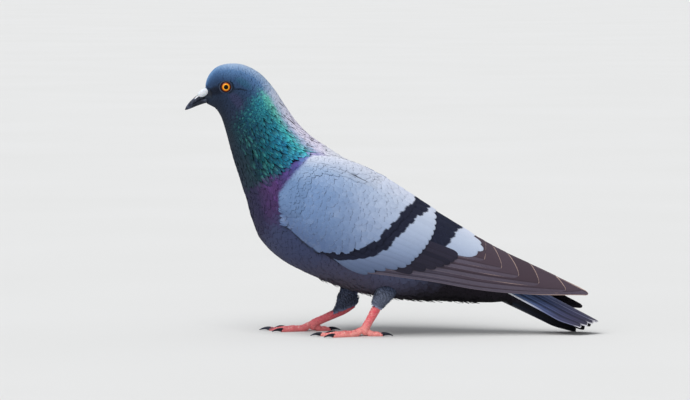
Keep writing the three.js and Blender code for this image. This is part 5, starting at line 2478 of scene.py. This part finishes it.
@dataclass(frozen=True)
class Stage:
    """Floor, lights, world and camera."""

    floor_size: float = 60.0
    centre: tuple[float, float, float] = (-0.0329, 0.0, 0.0938)
    view_width: float = 0.483
    distance: float = 3.0
    elevation: float = 3.5
    sensor: float = 36.0

    def build(self) -> None:
        """Sets the stage."""
        self.floor()
        self.world()
        self.lamps()
        self.camera()

    def floor(self) -> None:
        """A pale floor that keeps the shadow."""
        half = self.floor_size / 2
        mesh = bpy.data.meshes.new("floor")
        corners = [(-half, -half, 0), (half, -half, 0), (half, half, 0), (-half, half, 0)]
        mesh.from_pydata(corners, [], [(0, 1, 2, 3)])
        material = bpy.data.materials.new("pale_floor")
        material.use_nodes = True
        shader = material.node_tree.nodes["Principled BSDF"]
        graph = Graph(material.node_tree)
        cloud = graph.mix(graph.noise(graph.place(), 3.0), paint(214, 214, 212), paint(220, 220, 219))
        graph.feed(shader.inputs["Base Color"], cloud)
        shader.inputs["Roughness"].default_value = 0.9
        mesh.materials.append(material)
        linked("floor", mesh)

    def world(self) -> None:
        """A pale even sky."""
        world = bpy.data.worlds.new("sky")
        bpy.context.scene.world = world
        world.use_nodes = True
        graph = Graph(world.node_tree)
        background = world.node_tree.nodes["Background"]
        path = graph.named("ShaderNodeLightPath", {})
        seen = graph.math("MAXIMUM", path["Is Camera Ray"], path["Is Glossy Ray"])
        seen = graph.math("MAXIMUM", seen, path["Is Transmission Ray"])
        background.inputs["Color"].default_value = (0.86, 0.88, 0.92, 1)
        graph.feed(background.inputs["Strength"], seen * 0.5 + 0.42)

    def lamps(self) -> None:
        """A broad soft light from above and a little from the camera's side."""
        for name, away, angle, power in (
            ("sky_light", (-0.35, -0.45, 1.0), 50.0, 2.6),
            ("side_light", (-0.6, -1.0, 0.35), 60.0, 0.55),
        ):
            data = bpy.data.lights.new(name, "SUN")
            data.angle = math.radians(angle)
            data.energy = power
            linked(name, data).rotation_euler = Vector(away).to_track_quat("Z", "Y").to_euler()

    def camera(self) -> None:
        """A long lens, level with the bird and square to its side."""
        data = bpy.data.cameras.new("camera")
        data.sensor_width = self.sensor
        data.lens = self.sensor * self.distance / self.view_width
        data.clip_end = 100.0
        camera = linked("camera", data)
        tilt = math.radians(self.elevation)
        away = Vector((0, -math.cos(tilt), math.sin(tilt))) * self.distance
        camera.location = Vector(self.centre) + away
        camera.rotation_euler = (-away).to_track_quat("-Z", "Y").to_euler()
        bpy.context.scene.camera = camera
        bpy.context.scene.view_settings.view_transform = "Standard"


# ------------------------------------------------------------------ the bird


def main() -> None:
    """Builds the stage and the bird, piece by piece."""
    logging.basicConfig(level=logging.INFO, format="%(message)s")
    Stage().build()
    Skin().build()
    for side in Side:
        EYES.ball(side)
    BILL.build()
    Claws().build()
    for leg in LEGS:
        scutes = leg.scutes(np.random.default_rng(SCUTE_SEED + leg.side.value))
        dress(scutes.build(f"scutes_{leg.side.word}"), ScuteFinish(), "leg_skin")
    Plumage(DrapedForm()).build()
    for side in Side:
        Wing(side).build()
    Tail().build()


if __name__ == "__main__":
    main()
